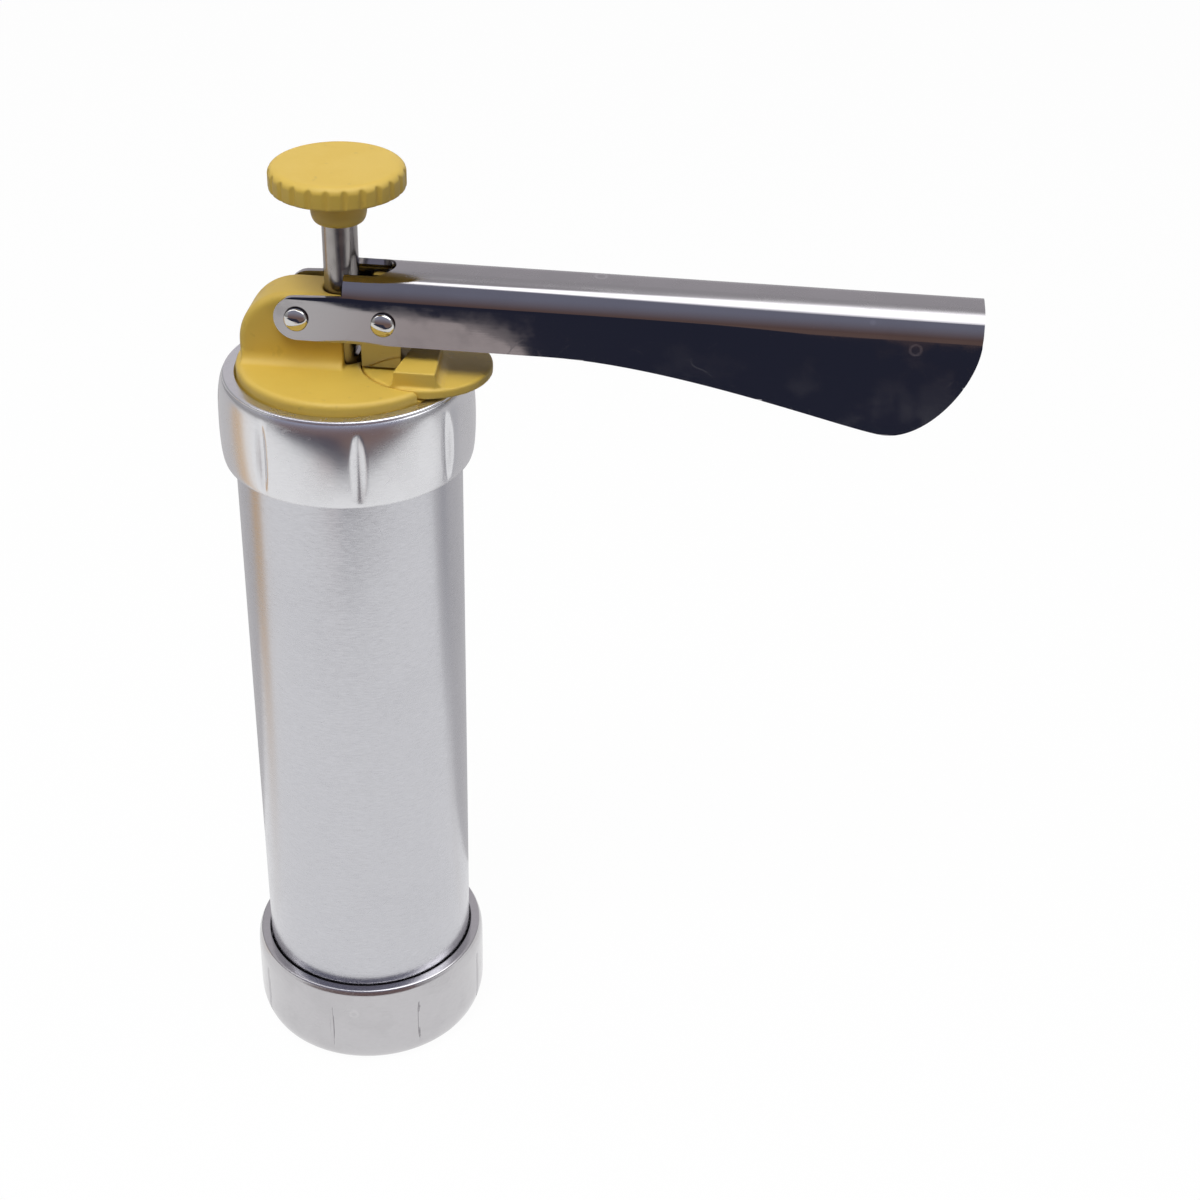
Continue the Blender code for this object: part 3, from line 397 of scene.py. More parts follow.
@dataclass(frozen=True)
class Plastic:
    """A moulded plastic with a faint mottle, fine skin and handling marks. Scales are per metre."""

    name: str
    colour: Colour
    shade: Colour
    roughness: float
    seed: float
    skin_scale: float = 1500.0
    flow_scale: float = 95.0
    mark_scale: float = 420.0
    mottle: float = 0.55
    mottle_ends: Point = (0.36, 0.68)
    mottle_dulls: float = 0.07
    marks: float = 0.30
    mark_ends: Point = (0.66, 0.74)
    mark_patch: Point = (0.48, 0.60)
    mark_shade: float = 0.6
    mark_shines: float = 0.08
    skin_dulls: float = 0.10
    skin_relief: float = 0.6
    flow_relief: float = 0.8
    relief: float = 0.16
    relief_height: float = 0.12 * MM
    refraction: float = 1.54
    spread: Place = (1.0, 0.6, 1.4)

    def build(self) -> bpy.types.Material:
        """Makes the material.

        Returns:
            A Principled material whose colour, roughness and bump vary over the surface.
        """
        material, tree, shader = principled(self.name)
        _, moved = tree.own_place(self.seed, self.spread)
        skin = tree.noise(moved, self.skin_scale, 2.0)
        flow = tree.noise(moved, self.flow_scale, 4.0)
        mottle = tree.ramp(flow, *self.mottle_ends)
        marks = tree.ramp(tree.noise(moved, self.mark_scale, 1.0), *self.mark_ends)
        marks = marks * tree.ramp(flow, *self.mark_patch)
        worn = tuple(c * self.mark_shade for c in self.shade)
        colour = tree.blend(mottle * self.mottle, (*self.colour, 1.0), (*self.shade, 1.0))
        colour = tree.blend(marks * self.marks, colour, (*worn, 1.0))
        roughness = self.roughness + (skin - 0.5) * self.skin_dulls
        roughness = roughness + mottle * self.mottle_dulls - marks * self.mark_shines
        height = skin * self.skin_relief + flow * self.flow_relief
        bump = {"Strength": self.relief, "Distance": self.relief_height, "Height": height}
        tree.cover(shader, colour, roughness, bump)
        shader.inputs["IOR"].default_value = self.refraction
        return material


class Finish(Enum):
    """The finishes of the press."""

    BARREL = Metal(
        "barrel_satin", (0.56, 0.56, 0.59), 0.24, Grain.BRUSHED_ROUND,
        grain_depth=0.045, grain_spread=0.19, smudge=0.03, smudge_scale=45.0,
        scratches=0.12, spots=0.03, seed=0.3,
    )
    RING = Metal(
        "ring_satin", (0.71, 0.71, 0.73), 0.25, Grain.BRUSHED_ROUND,
        grain_depth=0.015, grain_spread=0.09, smudge=0.04, smudge_scale=110.0,
        scratches=0.10, spots=0.02, seed=1.1,
    )
    BASE = Metal(
        "base_satin", (0.53, 0.52, 0.535), 0.17, Grain.BRUSHED_ROUND,
        grain_depth=0.02, grain_spread=0.10, smudge=0.08, smudge_scale=90.0,
        scratches=0.4, spots=0.06, seed=1.9,
    )
    DISC = Metal(
        "disc_bright", (0.62, 0.62, 0.63), 0.20, Grain.TURNED,
        grain_depth=0.06, grain_spread=0.08, smudge=0.08, smudge_scale=110.0,
        scratches=0.3, spots=0.04, seed=2.2,
    )
    LEVER = Metal(
        "lever_stainless", (0.37, 0.36, 0.37), 0.035, Grain.ROLLED,
        grain_depth=0.005, grain_spread=0.04, smudge=0.09, smudge_scale=95.0,
        scratches=0.9, spots=0.22, dull=0.20, dull_above=0.1949, seed=3.1,
    )
    RIVET = Metal(
        "rivet_polished", (0.60, 0.59, 0.57), 0.07, Grain.SATIN,
        grain_depth=0.02, grain_spread=0.03, smudge=0.04, smudge_scale=300.0,
        scratches=0.3, seed=4.5,
    )
    ROD = Metal(
        "rod_ground", (0.32, 0.30, 0.29), 0.18, Grain.DRAWN_UP,
        grain_depth=0.08, grain_spread=0.08, smudge=0.10, smudge_scale=150.0,
        scratches=0.3, seed=5.2,
    )
    SPRING = Metal(
        "spring_dark", (0.22, 0.22, 0.24), 0.30, Grain.SATIN,
        grain_depth=0.05, grain_spread=0.08, smudge=0.10, smudge_scale=200.0,
        scratches=0.3, seed=6.4,
    )
    YELLOW = Plastic("plastic_yellow", (0.785, 0.54, 0.088), (0.745, 0.50, 0.075), 0.44, 0.5)
    WHITE = Plastic("plastic_white", (0.78, 0.78, 0.74), (0.70, 0.70, 0.65), 0.45, 2.5)


MATERIALS: dict[Finish, bpy.types.Material] = {}


def material_of(finish: Finish) -> bpy.types.Material:
    """The finish's material, made at its first use.

    Args:
        finish: The finish.

    Returns:
        Its one material.
    """
    if finish not in MATERIALS:
        MATERIALS[finish] = finish.value.build()
    return MATERIALS[finish]


def dress(obj: bpy.types.Object, finish: Finish) -> None:
    """Gives the whole object one finish."""
    obj.data.materials.clear()
    obj.data.materials.append(material_of(finish))


# Meshes


def to_row(points: np.ndarray) -> np.ndarray:
    """Moves points from millimetres about the rod's axis to metres in the row frame."""
    return (np.asarray(points, float) + np.array([AXIS_X, 0.0, 0.0])) * MM


def new_piece(name: str, points: np.ndarray, faces: Sequence[Sequence[int]]) -> bpy.types.Object:
    """Makes an object from points in millimetres about the rod's axis.

    Args:
        name: The object's name.
        points: One row for each point.
        faces: Point numbers of each face.

    Returns:
        The object, at the origin, with outward normals.
    """
    mesh = bpy.data.meshes.new(name)
    mesh.from_pydata(to_row(points).tolist(), [], [list(map(int, f)) for f in faces])
    obj = bpy.data.objects.new(name, mesh)
    bpy.context.scene.collection.objects.link(obj)
    tidy(obj)
    return obj


def tidy(obj: bpy.types.Object, join: float = HAIR) -> None:
    """Merges doubles and turns the faces outwards.

    Args:
        obj: The object.
        join: How near two points lie to be one, in metres.
    """
    shape = bmesh.new()
    shape.from_mesh(obj.data)
    bmesh.ops.remove_doubles(shape, verts=shape.verts, dist=join)
    bmesh.ops.recalc_face_normals(shape, faces=shape.faces)
    shape.to_mesh(obj.data)
    shape.free()


def smooth(obj: bpy.types.Object, angle: float = SHARP_ANGLE) -> None:
    """Shades the object smooth apart from its sharp edges."""
    obj.data.shade_smooth()
    obj.data.set_sharp_from_angle(angle=math.radians(angle))


def soften(obj: bpy.types.Object, width: float, steps: int) -> None:
    """Rounds the sharp edges a little and keeps the flat faces flat.

    Args:
        obj: A solid cut from sheet.
        width: How far the rounding reaches, in millimetres.
        steps: Pieces of the rounding.
    """
    obj.data.shade_smooth()
    bevel = obj.modifiers.new("soft", "BEVEL")
    bevel.width = width * MM
    bevel.segments = steps
    bevel.limit_method = "ANGLE"
    bevel.angle_limit = math.radians(SHARP_ANGLE)
    even = obj.modifiers.new("even", "WEIGHTED_NORMAL")
    even.weight = 100
    applied(obj)


def applied(obj: bpy.types.Object) -> bpy.types.Object:
    """Turns the object with its modifiers into a plain mesh.

    Args:
        obj: The object.

    Returns:
        The same object, without modifiers.
    """
    graph = bpy.context.evaluated_depsgraph_get()
    graph.update()
    mesh = bpy.data.meshes.new_from_object(obj.evaluated_get(graph))
    obj.modifiers.clear()
    old = obj.data
    obj.data = mesh
    bpy.data.meshes.remove(old)
    mesh.name = obj.name
    return obj


def finished(
    obj: bpy.types.Object, body: str, nodes: Sequence[str], finish: Finish
) -> bpy.types.Object:
    """Dresses a piece and ties it to its body and nodes.

    Args:
        obj: The finished piece.
        body: The body that it moves with.
        nodes: The nodes that it replaces.
        finish: Its finish.

    Returns:
        The piece.
    """
    dress(obj, finish)
    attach(obj, body)
    if nodes:
        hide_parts(*nodes)
    LOG.info("%s: %d faces, rides on %s", obj.name, len(obj.data.polygons), body)
    return obj


def arc(centre: Point, radii: Point, start: float, end: float, steps: int) -> list[Point]:
    """Points on an elliptical arc between two angles in degrees.

    Args:
        centre: The middle.
        radii: The radius each way.
        start: The first angle.
        end: The last angle.
        steps: Pieces of the arc.

    Returns:
        The points, both ends among them.
    """
    angles = np.radians(np.linspace(start, end, steps + 1))
    return [
        (centre[0] + radii[0] * math.cos(a), centre[1] + radii[1] * math.sin(a)) for a in angles
    ]


def rounded(outline: Sequence[Place], steps: int = 5) -> list[Point]:
    """A closed outline whose corners are rounded.

    Args:
        outline: Corners as (u, v, radius).
        steps: Pieces of each rounding.

    Returns:
        The points of the rounded outline.
    """
    points: list[Point] = []
    count = len(outline)
    for i, (u, v, radius) in enumerate(outline):
        here = Vector((u, v))
        if radius <= 0.0:
            points.append((u, v))
            continue
        before = (Vector(outline[i - 1][:2]) - here).normalized()
        after = (Vector(outline[(i + 1) % count][:2]) - here).normalized()
        half = before.angle(after) / 2
        if half > math.pi / 2 - STRAIGHT:
            points.append((u, v))
            continue
        reach = radius / math.tan(half)
        start = here + before * reach
        end = here + after * reach
        centre = here + (before + after).normalized() * (radius / math.sin(half))
        a0 = math.atan2(start.y - centre.y, start.x - centre.x)
        a1 = math.atan2(end.y - centre.y, end.x - centre.x)
        turn = (a1 - a0 + math.pi) % (2 * math.pi) - math.pi
        for k in range(steps + 1):
            a = a0 + turn * k / steps
            points.append((centre.x + radius * math.cos(a), centre.y + radius * math.sin(a)))
    return points


def refined(points: Sequence[Point], longest: float, closed: bool = True) -> list[Point]:
    """Splits the long stretches of an outline.

    Args:
        points: The outline.
        longest: The longest stretch that stays whole.
        closed: Whether the last point joins the first.

    Returns:
        The outline with more points.
    """
    result: list[Point] = []
    pairs = list(zip(points, [*points[1:], points[0]]))
    for a, b in pairs if closed else pairs[:-1]:
        count = max(1, math.ceil(math.dist(a, b) / longest))
        for k in range(count):
            t = k / count
            result.append((a[0] + (b[0] - a[0]) * t, a[1] + (b[1] - a[1]) * t))
    if not closed:
        result.append(points[-1])
    return result


def lathe(
    name: str, profile: Sequence[Point], steps: int, centre: Point = (0.0, 0.0)
) -> bpy.types.Object:
    """Turns a profile of (radius, height) round the vertical through the centre.

    Args:
        name: The object's name.
        profile: Closed, or open with both ends on the axis.
        steps: Pieces round the axis.
        centre: The axis as (x, y).

    Returns:
        The turned object.
    """
    radii = np.array([p[0] for p in profile])
    heights = np.array([p[1] for p in profile])
    angles = np.linspace(0, 2 * math.pi, steps, endpoint=False)
    x = centre[0] + radii[None, :] * np.cos(angles)[:, None]
    y = centre[1] + radii[None, :] * np.sin(angles)[:, None]
    z = np.repeat(heights[None, :], steps, 0)
    points = np.stack([x, y, z], 2).reshape(-1, 3)
    count = len(profile)
    on_axis = radii[0] < HAIR and radii[-1] < HAIR
    last = count - 1 if on_axis else count
    faces = []
    for i in range(steps):
        j = (i + 1) % steps
        for k in range(last):
            m = (k + 1) % count
            faces.append((i * count + k, j * count + k, j * count + m, i * count + m))
    return new_piece(name, points, faces)


def prism(
    name: str, outline: Sequence[Point], low: float, high: float, facing: str
) -> bpy.types.Object:
    """A flat outline made a solid between two levels along its facing axis.

    Args:
        name: The object's name.
        outline: Points as (x, y) for Z, (x, z) for Y and (y, z) for X.
        low: The lower level.
        high: The upper level.
        facing: The axis, X, Y or Z.

    Returns:
        The solid.
    """
    order = {"Z": (0, 1, 2), "Y": (0, 2, 1), "X": (1, 2, 0)}[facing]
    flat = np.array(outline, float)
    points = np.zeros((2 * len(flat), 3))
    for part, level in ((slice(0, len(flat)), low), (slice(len(flat), None), high)):
        points[part, order[0]] = flat[:, 0]
        points[part, order[1]] = flat[:, 1]
        points[part, order[2]] = level
    n = len(flat)
    faces: list[Sequence[int]] = [list(range(n)), list(range(2 * n - 1, n - 1, -1))]
    faces += [(i, (i + 1) % n, n + (i + 1) % n, n + i) for i in range(n)]
    return new_piece(name, points, faces)


def boolean(target: bpy.types.Object, tool: bpy.types.Object, operation: str) -> None:
    """Applies an exact Boolean and removes the tool.

    Args:
        target: The solid that changes.
        tool: The solid that cuts it or joins it.
        operation: UNION or DIFFERENCE.
    """
    step = target.modifiers.new(operation, "BOOLEAN")
    step.operation = operation
    step.solver = "EXACT"
    step.object = tool
    applied(target)
    bpy.data.objects.remove(tool, do_unlink=True)


def moulded(obj: bpy.types.Object, grid: float, passes: int, soft: float = 0.5) -> None:
    """Rounds every edge and root a little, as a mould does.

    Args:
        obj: A closed solid.
        grid: The size of the new faces in millimetres.
        passes: How many times the surface is relaxed.
        soft: How far each pass goes.
    """
    remesh = obj.modifiers.new("skin", "REMESH")
    remesh.mode = "VOXEL"
    remesh.voxel_size = grid * MM
    remesh.adaptivity = 0.0
    relax = obj.modifiers.new("relax", "SMOOTH")
    relax.factor = soft
    relax.iterations = passes
    applied(obj)
    obj.data.shade_smooth()


# Repeated forms, as geometry nodes


class Form(Tree):
    """A geometry tree with named inputs that gives one real mesh with one material."""

    def __init__(self, name: str, kinds: dict[str, str]) -> None:
        """Makes the group with its inputs.

        Args:
            name: The name of the group and its modifier.
            kinds: The type of each input after the geometry, as Float, Int or Vector.
        """
        group = bpy.data.node_groups.new(name, "GeometryNodeTree")
        super().__init__(group)
        self.face = group.interface
        self.face.new_socket("Geometry", in_out="INPUT", socket_type="NodeSocketGeometry")
        self.face.new_socket("Geometry", in_out="OUTPUT", socket_type="NodeSocketGeometry")
        for label, kind in kinds.items():
            self.face.new_socket(label, in_out="INPUT", socket_type="NodeSocket" + kind)
        start = self.node("NodeGroupInput")
        self.given = self.out(start, "Geometry")
        self.size = {label: self.out(start, label) for label in kinds}

    def position(self) -> tuple[Sock, Sock, Sock]:
        """The parts of each point's place."""
        return self.split(self.out(self.node("GeometryNodeInputPosition")))

    def moved(self, place: Sock, selection: Sock | bool = True) -> Sock:
        """The given geometry with its points set to new places."""
        inputs = {"Geometry": self.given, "Selection": selection, "Position": place}
        return self.out(self.node("GeometryNodeSetPosition", inputs=inputs))

    def shifted(self, shape: Sock, offset: Sock) -> Sock:
        """The geometry moved as a whole."""
        inputs = {"Geometry": shape, "Translation": offset}
        return self.out(self.node("GeometryNodeTransform", inputs=inputs))

    def real(self, shape: Sock) -> Sock:
        """The geometry with its instances made real."""
        return self.out(self.node("GeometryNodeRealizeInstances", inputs={0: shape}))

    def give(self, shape: Sock, finish: Finish) -> None:
        """Ends the tree with the finish's material.

        Args:
            shape: The real geometry.
            finish: The finish.
        """
        inputs = {"Geometry": shape, "Material": material_of(finish)}
        paint = self.node("GeometryNodeSetMaterial", inputs=inputs)
        self.node("NodeGroupOutput", inputs={0: self.out(paint)})

    def apply(self, obj: bpy.types.Object, values: dict[str, object]) -> None:
        """Runs the tree on the object with its values, and makes it a plain mesh.

        Args:
            obj: The object.
            values: The inputs' values by name.
        """
        step = obj.modifiers.new(self.tree.name, "NODES")
        step.node_group = self.tree
        for label, value in values.items():
            step[self.face.items_tree[label].identifier] = value
        applied(obj)


@dataclass(frozen=True)
class Hollows:
    """Equal hollows cut into the side of a round piece, as by a row of ellipsoids."""

    count: int
    width: float
    length: float
    depth: float
    reach: float
    level: float
    turn: float
    soft: float = 0.25
    follow: bool = False
    least_room: float = 0.0001
    depths_in: float = 3.0

    def carve(self, obj: bpy.types.Object, finish: Finish) -> None:
        """Cuts the hollows into the object with a geometry tree, and makes it a plain mesh.

        Args:
            obj: The turned piece.
            finish: The finish that the tree sets.
        """
        values = {
            "Count": float(self.count), "Width": self.width * MM, "Length": self.length * MM,
            "Depth": self.depth * MM, "Reach": self.reach * MM, "Level": self.level * MM,
            "Turn": math.radians(self.turn), "Soft": self.soft * MM, "Centre": AXIS_X * MM,
            "Follow": float(self.follow),
        }
        form = Form("hollows", dict.fromkeys(values, "Float"))
        size = form.size
        x, y, z = form.position()
        x = x - size["Centre"]
        radius = form.math("SQRT", x * x + y * y)
        angle = form.math("ARCTAN2", y, x) - size["Turn"]
        step = form.math("DIVIDE", 2 * math.pi, size["Count"])
        near = angle - form.math("ROUND", angle / step) * step
        across = radius * form.math("SINE", near)
        along = radius * form.math("COSINE", near)
        part = across / (size["Width"] * 0.5)
        rise = (z - size["Level"]) / (size["Length"] * 0.5)
        room = form.math("MAXIMUM", 1.0 - part * part - rise * rise, 0.0)
        middle = size["Reach"] + size["Width"] - size["Depth"]
        even = middle - size["Width"] * form.math("SQRT", room)
        following = along - size["Depth"] * form.math("SQRT", room)
        limit = even + (following - even) * size["Follow"]
        kept = form.math("SMOOTH_MIN", along, limit, size["Soft"])
        inside = form.math("GREATER_THAN", room, self.least_room)
        share = form.math("DIVIDE", along + (kept - along) * inside, along)
        place = form.join(x * share + size["Centre"], y * share, z)
        inner = size["Reach"] - size["Depth"] * self.depths_in
        outer = form.math("GREATER_THAN", radius, inner)
        form.give(form.real(form.moved(place, outer)), finish)
        form.apply(obj, values)


# Pieces


@dataclass
class Barrel:
    """The satin tube that holds the dough."""

    radius: float = 24.0
    wall: float = 1.5
    bottom: float = 3.4
    top: float = 168.0
    edge: float = 0.35
    spacing: float = 6.0
    steps: int = 192

    def build(self) -> None:
        """Turns the tube with its rounded ends."""
        inner = self.radius - self.wall
        outline = rounded(
            [
                (self.radius, self.bottom, self.edge),
                (self.radius, self.top, self.edge),
                (inner, self.top, self.edge),
                (inner, self.bottom, self.edge),
            ]
        )
        tube = lathe("barrel_tube", refined(outline, self.spacing), self.steps)
        smooth(tube)
        finished(tube, "barrel", ["barrel"], Finish.BARREL)


@dataclass
class RingNut:
    """A ring nut: its section and the scallops round it."""

    name: str
    body: str
    section: Callable[[], list[Point]]
    hollows: Hollows
    finish: Finish
    steps: int = 288
    spacing: float = 0.45

    def build(self) -> None:
        """Turns the section and carves the scallops."""
        ring = lathe(self.name + "_turned", refined(self.section(), self.spacing), self.steps)
        self.hollows.carve(ring, self.finish)
        smooth(ring)
        finished(ring, self.body, [self.name], self.finish)


def plain(points: Iterable[Point]) -> list[Place]:
    """Corners without rounding."""
    return [(u, v, 0.0) for u, v in points]


@dataclass(frozen=True)
class TopRingSection:
    """The upper nut's section: skirt, bulging side, lip with a bright edge."""

    bore: float = 24.3
    lip: float = 22.9
    top: float = 172.0
    bottom: float = 152.8
    bulge: float = 161.3
    thick: float = 1.4
    upper_centre: float = 25.35
    upper_radii: Point = (1.55, 10.2)
    lower_centre: float = 26.2
    lower_radii: Point = (0.7, 8.3)
    crown_centre: float = 25.0
    crown_radii: Point = (0.52, 0.5)
    foot_centre: float = 26.0
    foot_radii: Point = (0.32, 0.35)

    def points(self) -> list[Point]:
        """The closed outline as (radius, height).

        Returns:
            Its points, which run from the foot up the outside.
        """
        upper = arc((self.upper_centre, self.bulge), self.upper_radii, 0, 84, 16)
        lower = arc((self.lower_centre, self.bulge), self.lower_radii, -82, 0, 10)
        crown_level = self.top - self.crown_radii[1]
        crown = arc((self.crown_centre, crown_level), self.crown_radii, 10, 90, 6)
        foot_level = self.bottom + self.foot_radii[1]
        foot = arc((self.foot_centre, foot_level), self.foot_radii, -90, -10, 4)
        seat = self.top - self.thick
        corners = [
            (self.lip, self.top, 0.25), (self.lip, seat, 0.15), (self.bore, seat, 0.1),
            (self.bore, self.bottom, 0.3),
        ]
        return rounded([*plain([*foot, *lower, *upper[1:], *crown]), *corners])


@dataclass(frozen=True)
class BaseRingSection:
    """The foot nut's section: floor with the mouth, rounded foot and relieved rim."""

    bore: float = 24.3
    mouth: float = 19.0
    floor: float = 1.6
    height: float = 22.3
    relief: float = 24.35
    relief_depth: float = 5.0
    foot_centre: Point = (24.0, 6.5)
    foot_radii: Point = (3.2, 6.5)
    side_centre: float = 26.3
    side_below: float = 4.0
    side_radii: Point = (0.9, 3.6)
    crown_centre: float = 26.0
    crown_radii: Point = (0.55, 0.55)

    def points(self) -> list[Point]:
        """The closed outline as (radius, height).

        Returns:
            Its points, which run from the foot up the outside.
        """
        foot = arc(self.foot_centre, self.foot_radii, -90, 0, 18)
        side_level = self.height - self.side_below
        side = arc((self.side_centre, side_level), self.side_radii, 0, 70, 8)
        crown_level = self.height - self.crown_radii[1]
        crown = arc((self.crown_centre, crown_level), self.crown_radii, 20, 90, 6)
        ledge = self.height - self.relief_depth
        corners = [
            (self.relief, self.height, 0.2), (self.relief, ledge, 0.0), (self.bore, ledge, 0.0),
            (self.bore, self.floor, 0.2), (self.mouth, self.floor, 0.3), (self.mouth, 0.0, 0.4),
        ]
        return rounded([*plain([*foot, *side, *crown]), *corners])


@dataclass
class Head:
    """The moulded head: flange, disc and web."""

    spigot: float = 22.2
    bottom: float = 167.0
    flange: float = 24.0
    flange_low: float = 168.3
    flange_high: float = 170.3
    disc: float = 22.6
    top: float = 174.4
    web_half: float = 5.6
    web_left: float = -21.0
    web_right: float = 0.8
    web_top: float = 190.0
    web_corner: float = 11.5
    web_roll: float = 1.6
    sunk: float = 2.0
    root: float = 2.6
    edge: float = 1.2
    holes: tuple[tuple[str, float, float, float, Point], ...] = (
        ("seat", 13.8, 172.1, 176.0, (17.3, 0.0)),
        ("bore", 3.9, 160.0, 195.0, (0.0, 0.0)),
        ("stub", 3.3, 160.0, 173.0, (17.3, 0.0)),
        ("catch", 1.4, 160.0, 170.7, (6.1, -9.4)),
    )
    foot_sunk: float = 0.1
    foot_inset: float = 0.5
    roll_clear: float = 0.05
    steps: int = 160
    grid: float = 0.28
    passes: int = 7

    def build(self) -> None:
        """Joins disc and web, cuts the seats and rounds the edges as moulded."""
        outline = [
            (0.0, self.top),
            *arc((self.disc - self.edge, self.top - self.edge), (self.edge,) * 2, 90, 0, 8),
            (self.disc, self.flange_high), (self.flange, self.flange_high),
            (self.flange, self.flange_low), (self.spigot, self.flange_low),
            (self.spigot, self.bottom), (0.0, self.bottom),
        ]
        head = lathe("head_moulding", outline, self.steps)
        buried = self.top - self.sunk
        side = [
            (self.web_left, buried), (self.web_right, buried), (self.web_right, self.web_top),
            *arc(
                (self.web_left + self.web_corner, self.web_top - self.web_corner),
                (self.web_corner, self.web_corner), 90, 180, 16,
            ),
        ]
        web = prism("web", side, -self.web_half, self.web_half, "Y")
        self._roll_edges(web)
        flare = self.web_half + self.root
        level = self.top - self.foot_sunk + self.root
        curve = arc((flare, level), (self.root, self.root), 270, 182, 9)
        end = [
            (-flare, buried), (flare, buried), *curve, *[(-y, z) for y, z in reversed(curve)],
        ]
        foot = prism("foot", end, self.web_left + self.foot_inset, self.web_right, "X")
        boolean(web, foot, "UNION")
        boolean(head, web, "UNION")
        for name, radius, low, high, place in self.holes:
            hole = [(0.0, high), (radius, high), (radius, low), (0.0, low)]
            boolean(head, lathe(name, hole, 96, place), "DIFFERENCE")
        moulded(head, self.grid, self.passes)
        finished(head, "head", ["head_body"], Finish.YELLOW)

    def _roll_edges(self, web: bpy.types.Object) -> None:
        """Rounds the web's long edges, apart from those at the rod.

        Args:
            web: The web.
        """
        shape = bmesh.new()
        shape.from_mesh(web.data)
        limit = (self.web_right + AXIS_X - self.roll_clear) * MM
        edges = [
            e for e in shape.edges
            if abs(e.verts[0].co.y - e.verts[1].co.y) < HAIR
            and min(v.co.x for v in e.verts) < limit
            and max(v.co.z for v in e.verts) > self.top * MM
        ]
        bmesh.ops.bevel(
            shape, geom=edges, offset=self.web_roll * MM, segments=6, profile=0.5,
            affect="EDGES", clamp_overlap=True,
        )
        shape.to_mesh(web.data)
        shape.free()


@dataclass
class SizeDial:
    """The moulded dial with its tab, stub and screw hole."""

    x: float = 17.3
    radius: float = 13.5
    bottom: float = 172.4
    top: float = 174.4
    tab_top: float = 177.7
    edge: float = 0.5
    stub: float = 3.0
    stub_bottom: float = 166.9
    screw: float = 1.6
    screw_top: float = 171.7
    tab_left: float = 4.85
    tab_right: float = 3.85
    tab_front: float = 12.45
    tab_tip: Point = (2.9, 1.5)
    ramp: float = 3.0
    ramp_steps: int = 7
    ramp_skew: float = 0.3
    ramp_front: Point = (0.15, 0.25)
    sunk: float = 1.0
    steps: int = 144
    grid: float = 0.2
    passes: int = 10

    def build(self) -> None:
        """Joins disc, tab, its ramps and the stub, and rounds the edges as moulded."""
        outline = [
            (0.0, self.top),
            *arc((self.radius - self.edge, self.top - self.edge), (self.edge,) * 2, 90, 0, 4),
            (self.radius, self.bottom), (self.stub, self.bottom), (self.stub, self.stub_bottom),
            (0.0, self.stub_bottom),
        ]
        dial = lathe("dial_moulding", outline, self.steps, (self.x, 0.0))
        self._raise(dial, "tab", 0.0, self.tab_top)
        for k in range(self.ramp_steps):
            a = math.radians(90 * (k + 0.5) / self.ramp_steps)
            rise = self.ramp * (1 - math.sin(a))
            self._raise(dial, "ramp", self.ramp * (1 - math.cos(a)), self.top + rise)
        hole = [
            (0.0, self.screw_top), (self.screw, self.screw_top), (self.screw, 160.0), (0.0, 160.0),
        ]
        boolean(dial, lathe("hole", hole, 48, (self.x, 0.0)), "DIFFERENCE")
        moulded(dial, self.grid, self.passes)
        finished(dial, "dial", ["size_dial"], Finish.YELLOW)

    def _raise(self, dial: bpy.types.Object, name: str, out: float, level: float) -> None:
        """Adds the tab, or a step of its ramps that reaches further out and less high.

        Args:
            dial: The dial.
            name: The step's name.
            out: How far it reaches past the tab.
            level: Its top.
        """
        tip_x, tip_y = self.tab_tip
        skew = self.ramp_skew * out
        back = self.ramp_front[0] + self.ramp_front[1] * out if out > 0.0 else 0.0
        outline = [
            (-self.tab_left - skew, -self.tab_front), (self.tab_right + out, back - self.tab_front),
            (tip_x + out, tip_y + skew), (-tip_x - skew, tip_y + skew),
        ]
        corners = [(self.x + u, v) for u, v in outline]
        boolean(dial, prism(name, corners, self.top - self.sunk, level, "Z"), "UNION")


@dataclass
class Knob:
    """The fluted knob on its tapered hub."""

    radius: float = 13.7
    rim_low: float = 211.5
    top: float = 216.2
    crown: Point = (1.9, 1.6)
    rim: float = 0.6
    neck: tuple[Point, ...] = ((6.6, 0.0), (5.95, 0.25), (5.7, 0.9))
    hub_centre: Point = (4.7, 207.2)
    hub_radii: Point = (1.0, 2.7)
    bore: float = 3.9
    bore_low: float = 204.6
    bore_high: float = 213.0
    spacing: float = 0.4
    steps: int = 288
    flutes: Hollows = Hollows(
        count=24, width=2.1, length=60.0, depth=0.5, reach=13.7, level=213.4, turn=3.0, soft=0.2
    )

    def build(self) -> None:
        """Turns the knob and carves the flutes."""
        outline = [
            (0.0, self.top),
            *arc(
                (self.radius - self.crown[0], self.top - self.crown[1]), self.crown, 90, 0, 12
            ),
            *arc(
                (self.radius - self.rim, self.rim_low + self.rim), (self.rim,) * 2, 0, -90, 6
            ),
            *[(radius, self.rim_low - below) for radius, below in self.neck],
            *arc(self.hub_centre, self.hub_radii, 0, -86, 9),
            (self.bore, self.bore_low), (self.bore, self.bore_high), (0.0, self.bore_high),
        ]
        knob = lathe("knob_moulding", refined(outline, self.spacing, closed=False), self.steps)
        self.flutes.carve(knob, Finish.YELLOW)
        smooth(knob)
        finished(knob, "plunger", ["knob"], Finish.YELLOW)


